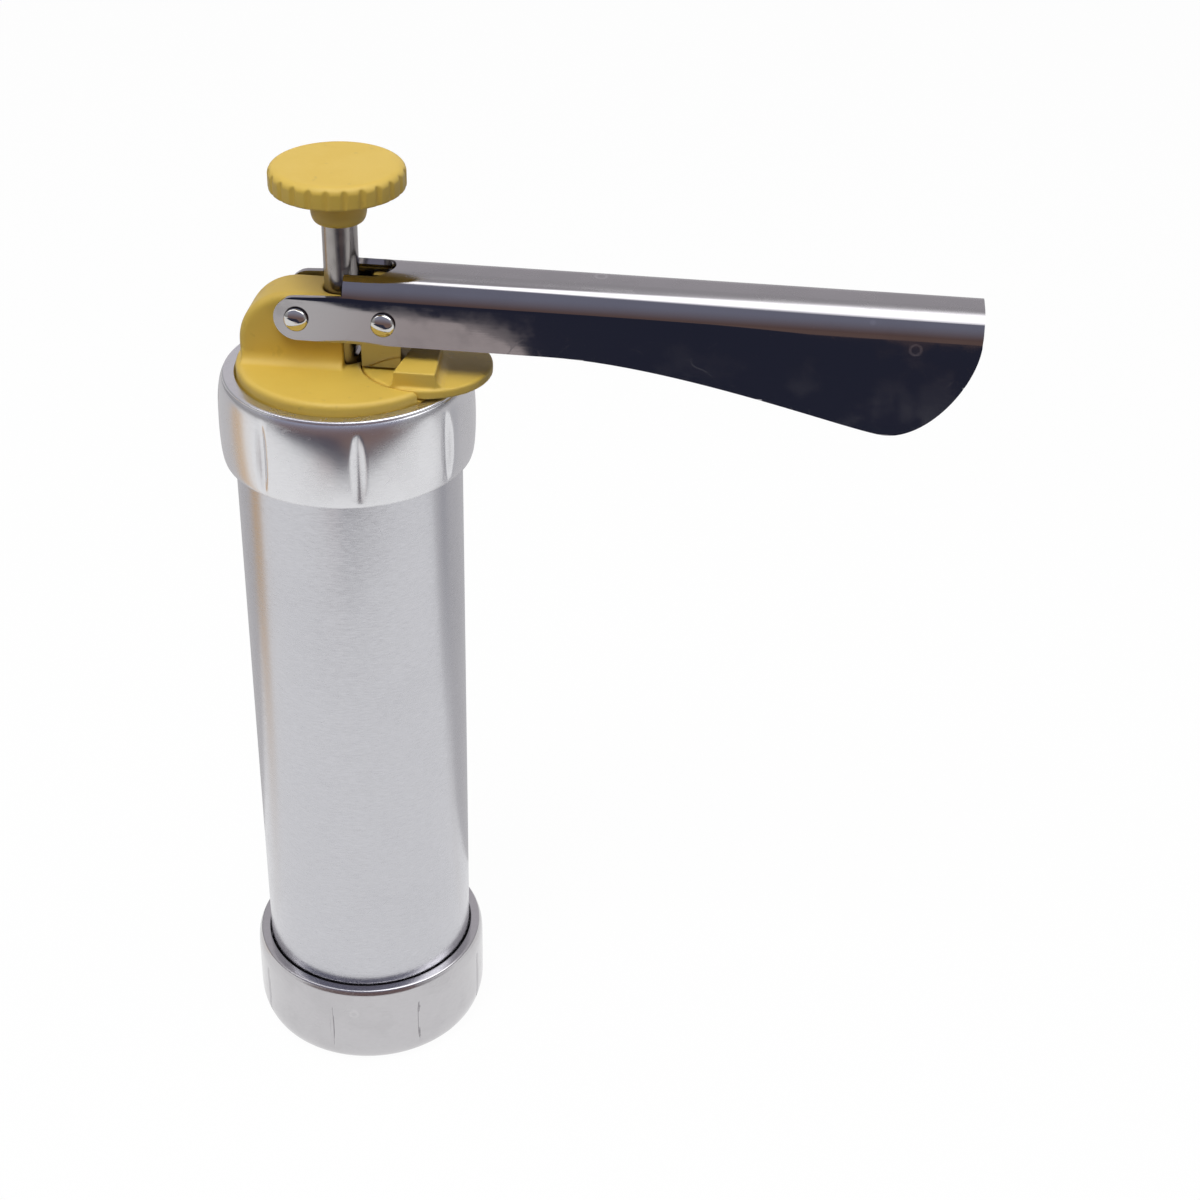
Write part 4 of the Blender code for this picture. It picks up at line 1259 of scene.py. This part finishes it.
@dataclass
class Lever:
    """The pressed channel with its ears, slot and deep rounded end."""

    half: float = 7.35
    sheet: float = 1.2
    shoulder: float = 5.5
    top: float = 195.2
    pivot: Point = (-8.1, 185.5)
    ear: float = 4.7
    start: float = 1.5
    notch: float = 0.5
    slot_half: float = 4.1
    slot_end: float = 11.3
    reach: float = 129.05
    flat_end: float = 43.0
    belly: Point = (112.0, 168.5)
    belly_leads: tuple[float, float, float] = (70.0, 106.0, 120.5)
    tip_lead: float = 181.0
    tip_level: float = 190.0
    fold_steps: int = 12
    side_cuts: int = 7
    cut: float = 3.0
    soft: float = 0.22

    @property
    def _flat(self) -> float:
        """Half the width of the top's flat."""
        return self.half - self.shoulder

    @property
    def _bend(self) -> float:
        """The radius of the sheet's middle round the shoulder."""
        return self.shoulder - self.sheet / 2

    @property
    def _fold(self) -> float:
        """The length of the sheet's middle round the shoulder."""
        return self._bend * math.pi / 2

    @property
    def _level(self) -> float:
        """The height of the sheet's middle in the top."""
        return self.top - self.sheet / 2

    def _sheet_place(self, s: float) -> Point:
        """Folds a distance along the sheet's middle, from the top's centre, to (y, z).

        Args:
            s: The distance, below zero on the left.

        Returns:
            The place of that point once folded.
        """
        flat, bend, length, level = self._flat, self._bend, self._fold, self._level
        side = 1.0 if s >= 0 else -1.0
        s = abs(s)
        if s <= flat:
            return side * s, level
        if s <= flat + length:
            a = (s - flat) / bend
            return side * (flat + bend * math.sin(a)), level - bend + bend * math.cos(a)
        return side * (flat + bend), level - bend - (s - flat - length)

    def _along(self, z: float) -> float:
        """The distance along the sheet at which its side reaches a height.

        Args:
            z: The height.

        Returns:
            The distance.
        """
        low = self._level - self._bend
        if z >= low:
            return self._flat + self._bend * math.acos((z - low) / self._bend)
        return self._flat + self._fold + low - z

    def _across(self, y: float) -> float:
        """The distance along the sheet at which it reaches a width.

        Args:
            y: The width.

        Returns:
            The distance.
        """
        if y <= self._flat:
            return y
        return self._flat + self._bend * math.asin(min(1.0, (y - self._flat) / self._bend))

    def _half_outline(self) -> list[Point]:
        """One side of the flat sheet as (x, s), from the slot's end to the tip.

        Returns:
            The points.
        """
        edge = self.pivot[1] - self.ear
        slot = arc((self.slot_end - self.slot_half, 0.0), (self.slot_half,) * 2, 0, 90, 14)
        points = [(x, self._across(y)) for x, y in slot]
        points += [(self.start, self._across(self.slot_half))]
        points += [(self.start, self._along(self.pivot[1] + self.ear) - self.notch)]
        points += [
            (x, self._along(z)) for x, z in arc(self.pivot, (self.ear, self.ear), 90, 270, 24)
        ]
        low = self.belly[1]
        leave, arrive, onward = self.belly_leads
        falling = self._bezier((self.flat_end, edge), (leave, edge), (arrive, low), self.belly)
        tip = (self.reach, self.tip_level)
        rising = self._bezier(self.belly, (onward, low), (self.reach, self.tip_lead), tip)
        points += [(x, self._along(z)) for x, z in [*falling, *rising[1:]]]
        points += [(self.reach, 0.0)]
        return points

    @staticmethod
    def _bezier(a: Point, b: Point, c: Point, d: Point, steps: int = 26) -> list[Point]:
        """Points on a cubic curve.

        Args:
            a: The start.
            b: The point that the curve leaves towards.
            c: The point that it arrives from.
            d: The end.
            steps: Pieces of the curve.

        Returns:
            The points, both ends among them.
        """
        result = []
        for i in range(steps + 1):
            t = i / steps
            w = ((1 - t) ** 3, 3 * t * (1 - t) ** 2, 3 * t * t * (1 - t), t**3)
            result.append(tuple(sum(k * p[j] for k, p in zip(w, (a, b, c, d))) for j in (0, 1)))
        return result

    def build(self) -> None:
        """Cuts the flat sheet, folds it and gives it its thickness and soft edges."""
        half = self._half_outline()
        outline = [*half, *[(x, -s) for x, s in reversed(half[1:-1])]]
        shape = bmesh.new()
        corners = [shape.verts.new((x, s, 0.0)) for x, s in outline]
        shape.faces.new(corners)
        flat, fold = self._flat, self._fold
        lines = [flat + fold * k / self.fold_steps for k in range(self.fold_steps + 1)]
        lines += [flat + fold + self.cut * k for k in range(1, self.side_cuts + 1)]
        cuts = [((0.0, s * side, 0.0), (0.0, 1.0, 0.0)) for s in lines for side in (1, -1)]
        cuts += [((0.0, 0.0, 0.0), (0.0, 1.0, 0.0))]
        cuts += [
            ((x, 0.0, 0.0), (1.0, 0.0, 0.0)) for x in np.arange(self.cut, self.reach, self.cut)
        ]
        for place, normal in cuts:
            parts = [*shape.verts, *shape.edges, *shape.faces]
            bmesh.ops.bisect_plane(shape, geom=parts, plane_co=place, plane_no=normal, dist=NEAR)
        for v in shape.verts:
            y, z = self._sheet_place(v.co.y)
            v.co = Vector(to_row(np.array([v.co.x, y, z])))
        bmesh.ops.remove_doubles(shape, verts=shape.verts, dist=FINE)
        mesh = bpy.data.meshes.new("lever_channel")
        shape.to_mesh(mesh)
        shape.free()
        lever = bpy.data.objects.new("lever_channel", mesh)
        bpy.context.scene.collection.objects.link(lever)
        wall = lever.modifiers.new("wall", "SOLIDIFY")
        wall.thickness = self.sheet * MM
        wall.offset = 0.0
        wall.use_even_offset = True
        applied(lever)
        tidy(lever, FINE)
        soften(lever, self.soft, 3)
        finished(lever, "lever", ["lever"], Finish.LEVER)


def lay_across(obj: bpy.types.Object, x: float, z: float) -> None:
    """Turns a piece made about the rod's axis so that it lies along Y through (x, z).

    Args:
        obj: The piece.
        x: Its place along the lever, in millimetres from the rod.
        z: Its height.
    """
    move = Matrix.Translation(((x + AXIS_X) * MM, 0.0, z * MM))
    turn = Matrix.Rotation(math.pi / 2, 4, "X")
    back = Matrix.Translation((-AXIS_X * MM, 0.0, 0.0))
    obj.data.transform(move @ turn @ back)


@dataclass
class Rivets:
    """The two rivets: their domed ends and the shanks between them."""

    places: tuple[tuple[str, float], ...] = (("lever_pivot_rivet", -8.1), ("pawl_rivet", 9.7))
    z: float = 185.5
    radius: float = 2.5
    rise: float = 1.4
    face: float = 7.65
    rim: float = 0.15
    shank: float = 1.6
    steps: int = 64

    def build(self) -> None:
        """Turns both rivets across the lever."""
        for node, x in self.places:
            dome = arc((0.0, self.face + self.rim), (self.radius, self.rise - self.rim), 90, 0, 14)
            upper = [*dome, (self.radius, self.face), (self.shank, self.face)]
            outline = [*upper, *[(r, -z) for r, z in reversed(upper)]]
            rivet = lathe(node + "_domed", outline, self.steps)
            lay_across(rivet, x, self.z)
            tidy(rivet)
            smooth(rivet)
            finished(rivet, "lever", [node], Finish.RIVET)


@dataclass
class FeedPawl:
    """The stirrup that drives the rod."""

    face: float = 4.6
    back: float = 12.9
    half: float = 5.6
    plate: float = 1.2
    foot: float = 175.0
    pivot: Point = (9.7, 185.5)
    hub: float = 3.2
    cheek: float = 5.8
    floor: float = 1.6
    sill: float = 7.0
    bore: float = 1.9
    clear: float = 2.0
    pocket_top: float = 191.0
    soft: float = 0.18

    def build(self) -> None:
        """Cuts the stirrup and softens its edges."""
        outline = [
            (self.face, self.foot), (self.back, self.foot),
            *arc(self.pivot, (self.hub, self.hub), 0, 150, 20),
            (self.face, self.foot + self.cheek),
        ]
        pawl = prism("pawl_stirrup", outline, -self.half, self.half, "Y")
        floor, sill = self.foot + self.floor, self.foot + self.sill
        wall = self.back - self.plate
        near, far = self.face - self.clear, self.back + self.clear
        pocket = [
            (near, floor), (wall, floor), (wall, sill), (far, sill), (far, self.pocket_top),
            (near, self.pocket_top),
        ]
        inner = self.half - self.plate
        boolean(pawl, prism("pocket", pocket, -inner, inner, "Y"), "DIFFERENCE")
        drill = [(0.0, 10.0), (self.bore, 10.0), (self.bore, -10.0), (0.0, -10.0)]
        hole = lathe("hole", drill, 48)
        lay_across(hole, *self.pivot)
        boolean(pawl, hole, "DIFFERENCE")
        soften(pawl, self.soft, 2)
        finished(pawl, "pawl", ["feed_pawl"], Finish.LEVER)


@dataclass
class Rod:
    """The rod with its stud and the saw teeth on the lever's side."""

    radius: float = 3.6
    stud: float = 2.0
    bottom: float = 4.7
    shoulder: float = 13.4
    top: float = 212.7
    pitch: float = 4.0
    root: float = 2.5
    crest: float = 3.2
    teeth_low: float = 19.7
    teeth: int = 40
    edge: float = 0.3
    spacing: float = 0.25
    steps: int = 48
    sharp: float = 28.0

    def build(self) -> None:
        """Turns the rod and cuts the teeth with a geometry tree."""
        outline = [
            (0.0, self.top), (self.radius - self.edge, self.top),
            (self.radius, self.top - self.edge),
            (self.radius, self.shoulder), (self.stud, self.shoulder), (self.stud, self.bottom),
            (0.0, self.bottom),
        ]
        rod = lathe("rod_toothed", refined(outline, self.spacing, closed=False), self.steps)
        sizes = {
            "Pitch": self.pitch, "Root": self.root, "Crest": self.crest, "Low": self.teeth_low,
            "High": self.teeth_low + self.teeth * self.pitch, "Centre": AXIS_X,
        }
        form = Form("teeth", dict.fromkeys(sizes, "Float"))
        size = form.size
        x, y, z = form.position()
        x = x - size["Centre"]
        share = form.math("FRACT", (z - size["Low"]) / size["Pitch"])
        limit = size["Root"] + (size["Crest"] - size["Root"]) * share
        cut = form.math("MINIMUM", x, limit)
        inside = form.math("GREATER_THAN", z, size["Low"]) * form.math("LESS_THAN", z, size["High"])
        place = form.join(x + (cut - x) * inside + size["Centre"], y, z)
        form.give(form.real(form.moved(place)), Finish.ROD)
        form.apply(rod, {name: value * MM for name, value in sizes.items()})
        smooth(rod, self.sharp)
        finished(rod, "plunger", ["plunger_rod"], Finish.ROD)


@dataclass
class PatternDie:
    """The disc with its daisy of openings."""

    radius: float = 23.9
    bottom: float = 1.9
    top: float = 3.1
    edge: float = 0.2
    petals: int = 6
    petal_middle: float = 9.4
    petal_radii: Point = (4.6, 2.4)
    centre: float = 3.1
    clear: float = 1.0
    steps: int = 192
    sharp: float = 30.0

    def build(self) -> None:
        """Cuts the petals, which a geometry tree sets round the disc."""
        profile = rounded(
            [
                (0.0, self.bottom, 0.0), (self.radius, self.bottom, self.edge),
                (self.radius, self.top, self.edge), (0.0, self.top, 0.0),
            ],
            3,
        )
        disc = lathe("die_disc", profile, self.steps)
        unit = arc((self.petal_middle, 0.0), self.petal_radii, 0, 360, 40)[:-1]
        petal = prism("petal", unit, self.bottom - self.clear, self.top + self.clear, "Z")
        self._repeat(petal)
        boolean(disc, petal, "DIFFERENCE")
        centre = [(0.0, 5.0), (self.centre, 5.0), (self.centre, 0.0), (0.0, 0.0)]
        boolean(disc, lathe("centre", centre, 64), "DIFFERENCE")
        smooth(disc, self.sharp)
        finished(disc, "die", ["pattern_die"], Finish.DISC)

    def _repeat(self, petal: bpy.types.Object) -> None:
        """Sets equal copies of the petal round the disc.

        Args:
            petal: One petal, which becomes all of them.
        """
        form = Form("petals", {"Count": "Int", "Centre": "Vector"})
        count, centre = form.size["Count"], form.size["Centre"]
        back = form.node("ShaderNodeVectorMath", {"operation": "SCALE"}, {0: centre, "Scale": -1.0})
        about = form.shifted(form.given, form.out(back))
        row = {"Count": count, "Offset": (0.0, 0.0, 0.0)}
        spots = form.node("GeometryNodeMeshLine", inputs=row)
        index = form.out(form.node("GeometryNodeInputIndex"))
        angle = index * form.math("DIVIDE", 2 * math.pi, count)
        copies = form.node(
            "GeometryNodeInstanceOnPoints",
            inputs={
                "Points": form.out(spots), "Instance": about,
                "Rotation": form.join(0.0, 0.0, angle),
            },
        )
        form.give(form.shifted(form.real(form.out(copies)), centre), Finish.DISC)
        form.apply(petal, {"Count": self.petals, "Centre": (AXIS_X * MM, 0.0, 0.0)})


@dataclass
class Piston:
    """The plastic cup that presses the dough."""

    radius: float = 22.2
    bottom: float = 4.4
    top: float = 13.4
    cup: float = 20.2
    cup_floor: float = 8.9
    hub: float = 7.0
    hub_top: float = 12.0
    bore: float = 2.3
    pocket: float = 5.2
    pocket_top: float = 8.4
    steps: int = 160

    def build(self) -> None:
        """Turns the cup with its hub and nut pocket."""
        outline = rounded(
            [
                (self.bore, self.pocket_top, 0.1), (self.bore, self.hub_top, 0.1),
                (self.hub, self.hub_top, 0.4), (self.hub, self.cup_floor, 0.8),
                (self.cup, self.cup_floor, 1.0), (self.cup, self.top, 0.3),
                (self.radius, self.top, 0.3), (self.radius, self.bottom, 0.6),
                (self.pocket, self.bottom, 0.3), (self.pocket, self.pocket_top, 0.2),
            ]
        )
        cup = lathe("piston_cup", outline, self.steps)
        smooth(cup)
        finished(cup, "piston", ["piston"], Finish.WHITE)


@dataclass
class SmallParts:
    """The small nodes that are carried over as they are."""

    finishes: tuple[tuple[str, Finish], ...] = (
        ("pawl_spring", Finish.SPRING), ("rod_catch", Finish.SPRING),
        ("catch_screw", Finish.SPRING), ("dial_washer", Finish.ROD), ("dial_screw", Finish.ROD),
        ("piston_washer", Finish.ROD), ("piston_nut", Finish.ROD),
    )

    def dress(self) -> None:
        """Gives each node its finish."""
        for node, finish in self.finishes:
            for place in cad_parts[node].material_slots:
                place.material = material_of(finish)
            LOG.info("%s: carried over", node)


# Studio


def bare_material(name: str) -> tuple[bpy.types.Material, Tree, bpy.types.NodeSocket]:
    """A material without a shader yet, its tree and the input that takes the shader.

    Args:
        name: The material's name.

    Returns:
        The material, the tree and the input.
    """
    material, tree, shader = principled(name)
    nodes = material.node_tree.nodes
    nodes.remove(shader)
    return material, tree, nodes["Material Output"].inputs["Surface"]


@dataclass(frozen=True)
class Lamp:
    """A soft lamp that metal doesn't mirror.

    Its size is its length and width in metres, and a lamp as long as it is wide is round. Its
    glow is its brightness, where 1 is white.
    """

    name: str
    place: Place
    size: Point
    glow: float

    def build(self, target: Place) -> None:
        """Adds the lamp, pointed at the target.

        Args:
            target: Where it points.
        """
        light = bpy.data.lights.new(self.name, "AREA")
        is_round = self.size[0] == self.size[1]
        light.shape = "DISK" if is_round else "RECTANGLE"
        light.size, light.size_y = self.size
        area = self.size[0] * self.size[1] * (math.pi / 4 if is_round else 1.0)
        light.energy = self.glow * math.pi * area
        lamp = bpy.data.objects.new(self.name, light)
        lamp.location = self.place
        aim = Vector(target) - Vector(self.place)
        lamp.rotation_euler = aim.to_track_quat("-Z", "Y").to_euler()
        lamp.visible_glossy = False
        bpy.context.scene.collection.objects.link(lamp)


@dataclass(frozen=True)
class Card:
    """A card that shows only in reflections, and changes colour with its height.

    Its corners are in order, in metres.
    """

    name: str
    corners: tuple[Place, ...]
    low: Colour
    high: Colour

    def build(self) -> None:
        """Adds the card with its own light."""
        mesh = bpy.data.meshes.new(self.name)
        mesh.from_pydata(self.corners, [], [tuple(range(len(self.corners)))])
        card = bpy.data.objects.new(self.name, mesh)
        bpy.context.scene.collection.objects.link(card)
        material, tree, surface = bare_material(self.name)
        place = tree.out(tree.node("ShaderNodeTexCoord"), "Object")
        glow = tree.node("ShaderNodeEmission", inputs={"Color": self.paint(tree, place)})
        tree.feed(surface, tree.out(glow))
        mesh.materials.append(material)
        card.visible_camera = False
        card.visible_diffuse = False
        card.visible_shadow = False
        card.visible_transmission = False

    def paint(self, tree: Tree, place: Sock) -> Sock:
        """Blends from the floor to a metre up."""
        height = tree.split(place)[2]
        return tree.blend(tree.ramp(height, 0.0, 1.0), (*self.low, 1.0), (*self.high, 1.0))


@dataclass(frozen=True)
class NearCard(Card):
    """A pale card on the floor in front that changes colour to the right."""

    ends: Point = (-0.16, -0.105)

    def paint(self, tree: Tree, place: Sock) -> Sock:
        """Blends along X."""
        x = tree.split(place)[0]
        return tree.blend(tree.ramp(x, *self.ends), (*self.low, 1.0), (*self.high, 1.0))


@dataclass(frozen=True)
class RayCard(Card):
    """A wedge on the floor that draws a streak on the barrel, which fades downwards."""

    ends: Point = (0.05, 0.26)

    def paint(self, tree: Tree, place: Sock) -> Sock:
        """Blends by the distance from the barrel's axis.

        Args:
            tree: The card's tree.
            place: The card's coordinates.

        Returns:
            The colour.
        """
        x, y, _ = tree.split(place)
        x = x - AXIS_X * MM
        far = tree.ramp(tree.math("SQRT", x * x + y * y), *self.ends)
        return tree.blend(far, (*self.low, 1.0), (*self.high, 1.0))


@dataclass(frozen=True)
class CeilingCard(Card):
    """A grey ceiling with a soft bright window that widens to the right.

    Its low colour is in front, its high colour behind.
    """

    glow: Colour = (3.3, 3.3, 3.35)
    grows: Point = (-0.25, 0.20)
    narrow: float = 0.10
    widens: float = 0.42
    middle: float = 0.14
    leans: float = 0.10
    edge: Point = (0.35, 1.35)
    back: Point = (-0.35, -0.08)

    def paint(self, tree: Tree, place: Sock) -> Sock:
        """Blends along Y, and puts the window over that.

        Args:
            tree: The card's tree.
            place: The card's coordinates.

        Returns:
            The colour.
        """
        x, y, _ = tree.split(place)
        grown = tree.ramp(x, *self.grows)
        wide = self.narrow + grown * self.widens
        off = tree.math("ABSOLUTE", y + self.middle - grown * self.leans) / wide
        window = 1.0 - tree.ramp(off, *self.edge)
        back = tree.ramp(y, *self.back)
        base = tree.blend(back, (*self.low, 1.0), (*self.high, 1.0))
        return tree.blend(window, base, (*self.glow, 1.0))


def lying(outline: Iterable[Point], level: float) -> tuple[Place, ...]:
    """The corners of a card that lies at a level."""
    return tuple((x, y, level) for x, y in outline)


def wedge(towards: float, spread: float, near: float = 0.05, far: float = 0.8) -> list[Point]:
    """The outline of a wedge that points away from the barrel.

    Args:
        towards: Its direction from the barrel in degrees.
        spread: How many degrees it spans.
        near: The distance from the barrel's axis at which it starts, in metres.
        far: The distance at which it ends.

    Returns:
        Its four corners.
    """
    first, last = (math.radians(towards + spread * side) for side in (-0.5, 0.5))
    return [
        (AXIS_X * MM + reach * math.cos(a), reach * math.sin(a))
        for reach, a in ((near, first), (far, first), (far, last), (near, last))
    ]


@dataclass
class Studio:
    """Floor, world, lamps, reflector cards and camera."""

    camera_place: Place = (0.04238, -0.39793, 0.37310)
    pan: float = -5.6
    pitch: float = -32.4
    roll: float = 1.463
    lens: float = 64.935
    sensor: float = 36.0
    clip: Point = (0.01, 20.0)
    ambient: float = 0.15
    floor_size: float = 3.0
    floor_drop: float = 0.0002
    floor_matte: Colour = (0.28, 0.28, 0.28)
    floor_glow: float = 1.125
    floor_share: float = 0.86
    target: Place = (0.0, 0.0, 0.12)
    lamps: tuple[Lamp, ...] = (
        Lamp("strip_lamp", (-0.20, -0.15, 1.19), (1.4, 0.20), 2.7),
        Lamp("round_lamp", (0.22, -0.10, 1.19), (0.60, 0.60), 3.0),
        Lamp("fill_lamp", (-0.25, -0.55, 1.40), (0.60, 0.60), 8.5),
    )
    side: float = 1.6
    front: float = -1.4
    rear: float = 2.0
    wall_low: float = 0.05
    wall_top: float = 1.3
    ceiling: float = 1.19

    def build(self) -> None:
        """Sets everything up."""
        scene = bpy.context.scene
        scene.view_settings.view_transform = "Standard"
        self._world(scene)
        self._floor()
        for lamp in self.lamps:
            lamp.build(self.target)
        for card in [*self._floor_cards(), *self._walls()]:
            card.build()
        self._camera(scene)

    @staticmethod
    def _seen(tree: Tree) -> Sock:
        """1 for rays from the camera and for mirror and clear rays.

        Args:
            tree: The tree.

        Returns:
            The mask of such rays, and 0 for all others.
        """
        path = tree.node("ShaderNodeLightPath")
        camera, mirror = tree.out(path, "Is Camera Ray"), tree.out(path, "Is Glossy Ray")
        seen = tree.math("MAXIMUM", camera, mirror)
        return tree.math("MAXIMUM", seen, tree.out(path, "Is Transmission Ray"))

    def _world(self, scene: bpy.types.Scene) -> None:
        """White where it is seen, softer where it lights.

        Args:
            scene: The scene.
        """
        world = bpy.data.worlds.new("studio")
        world.use_nodes = True
        scene.world = world
        tree = Tree(world.node_tree)
        back = world.node_tree.nodes["Background"]
        tree.feed(back.inputs["Color"], (1.0, 1.0, 1.0, 1.0))
        strength = self.ambient + self._seen(tree) * (1.0 - self.ambient)
        tree.feed(back.inputs["Strength"], strength)

    def _floor(self) -> None:
        """A wide pale floor that keeps a soft shadow."""
        mesh = bpy.data.meshes.new("floor")
        size = self.floor_size
        mesh.from_pydata(
            [(-size, -size, 0.0), (size, -size, 0.0), (size, size, 0.0), (-size, size, 0.0)],
            [], [(0, 1, 2, 3)],
        )
        floor = bpy.data.objects.new("floor", mesh)
        floor.location.z = -self.floor_drop
        bpy.context.scene.collection.objects.link(floor)
        material, tree, surface = bare_material("floor_white")
        matte = tree.node("ShaderNodeBsdfDiffuse", inputs={"Color": (*self.floor_matte, 1.0)})
        light = {"Color": (1.0, 1.0, 1.0, 1.0), "Strength": self.floor_glow}
        glow = tree.node("ShaderNodeEmission", inputs=light)
        share = self._seen(tree) * self.floor_share
        mix = tree.node(
            "ShaderNodeMixShader", inputs={0: share, 1: tree.out(matte), 2: tree.out(glow)}
        )
        tree.feed(surface, tree.out(mix))
        mesh.materials.append(material)

    def _floor_cards(self) -> list[Card]:
        """The dim room in front, the grey floor behind, what lies beside the barrel and a painted
        shadow of the lever.

        Returns:
            The cards that lie on the floor.
        """
        side, front, rear = self.side, self.front, self.rear
        navy, brown, grey = (0.036, 0.040, 0.070), (0.22, 0.145, 0.13), (0.62, 0.61, 0.62)
        room = [
            (-0.30, -0.47), (-0.145, -0.413), (-0.127, -0.410), (-0.107, -0.403),
            (-0.088, -0.394), (-0.074, -0.383), (-0.065, -0.375), (-0.052, -0.340),
            (-0.040, -0.305), (side, -0.305), (side, front), (-1.2, front), (-1.2, -0.62),
        ]
        far = [(0.045, -0.43), (side, -0.43), (side, front), (-0.12, front), (-0.02, -1.05)]
        behind = [(-2.0, 0.05), (2.0, 0.05), (2.0, rear), (-2.0, rear)]
        near = [(-0.21, -0.30), (-0.04, -0.30), (-0.04, -0.43), (-0.21, -0.43)]
        white = (0.97, 0.96, 0.95)
        left, right = lying(wedge(173.6, 15.0), 0.004), lying(wedge(25.8, 9.0), 0.004)
        return [
            Card("floor_card", lying(room, 0.003), navy, navy),
            Card("far_card", lying(far, 0.005), brown, brown),
            Card("rear_floor_card", lying(behind, 0.002), grey, grey),
            RayCard("left_card", left, white, (0.72, 0.50, 0.30)),
            # Painted shadow: the grey far end of this wedge stands in for the lever's shadow on the
            # floor, and shows only in the barrel's reflection.
            RayCard("painted_lever_shadow_card", right, white, (0.45, 0.45, 0.48)),
            NearCard("near_card", lying(near, 0.0025), (0.97, 0.95, 0.94), (0.70, 0.62, 0.61)),
        ]

    def _walls(self) -> list[Card]:
        """The front, the grey walls and the ceiling.

        Returns:
            The cards that stand round the press.
        """
        side, front, rear = self.side, self.front, self.rear
        low, top = self.wall_low, self.wall_top
        slope = ((-side, front, 0.0), (side, front, 0.0), (side, -0.50, top), (-side, -0.50, top))
        dim, light, blue = (0.30, 0.29, 0.30), (0.50, 0.50, 0.52), (0.31, 0.32, 0.42)
        walls = [Card("front_card", slope, (0.20, 0.13, 0.12), blue)]
        for name, x in (("left_wall", -side), ("right_wall", side)):
            corners = ((x, front, low), (x, rear, low), (x, rear, top), (x, front, top))
            walls.append(Card(name, corners, dim, light))
        back = ((-side, rear, low), (side, rear, low), (side, rear, top), (-side, rear, top))
        walls.append(Card("rear_wall", back, (0.62, 0.60, 0.63), (0.64, 0.61, 0.65)))
        above = lying(((-side, -0.55), (side, -0.55), (side, rear), (-side, rear)), self.ceiling)
        walls.append(CeilingCard("ceiling_card", above, blue, (0.61, 0.59, 0.62)))
        return walls

    def _camera(self, scene: bpy.types.Scene) -> None:
        """The camera at the photograph's viewpoint.

        Args:
            scene: The scene.
        """
        data = bpy.data.cameras.new("camera")
        data.lens = self.lens
        data.sensor_width = self.sensor
        data.clip_start, data.clip_end = self.clip
        camera = bpy.data.objects.new("camera", data)
        pan, pitch, roll = (math.radians(a) for a in (self.pan, self.pitch, self.roll))
        ahead = Vector(
            (math.sin(pan) * math.cos(pitch), math.cos(pan) * math.cos(pitch), math.sin(pitch))
        )
        right = Vector((math.cos(pan), -math.sin(pan), 0.0))
        up = right.cross(ahead)
        turned_right = right * math.cos(roll) + up * math.sin(roll)
        turned_up = up * math.cos(roll) - right * math.sin(roll)
        turn = Matrix((turned_right, turned_up, -ahead)).transposed().to_4x4()
        camera.matrix_world = Matrix.Translation(self.camera_place) @ turn
        scene.collection.objects.link(camera)
        scene.camera = camera


def main() -> None:
    """Builds every piece and the studio."""
    logging.basicConfig(level=logging.INFO, format="%(name)s %(message)s")
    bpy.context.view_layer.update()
    Barrel().build()
    scallops = Hollows(
        count=8, width=4.7, length=46.0, depth=0.95, reach=26.9, level=163.0, turn=-73.5
    )
    RingNut(
        "top_ring_nut", "top_ring", TopRingSection().points, scallops, Finish.RING
    ).build()
    grooves = Hollows(
        count=8, width=0.95, length=14.0, depth=0.55, reach=27.2, level=10.8, turn=-54.2,
        soft=0.02, follow=True,
    )
    RingNut(
        "base_ring_nut", "base_ring", BaseRingSection().points, grooves, Finish.BASE,
        steps=560, spacing=0.6,
    ).build()
    Head().build()
    SizeDial().build()
    Knob().build()
    Lever().build()
    Rivets().build()
    FeedPawl().build()
    Rod().build()
    PatternDie().build()
    Piston().build()
    SmallParts().dress()
    Studio().build()


if __name__ == "__main__":
    main()
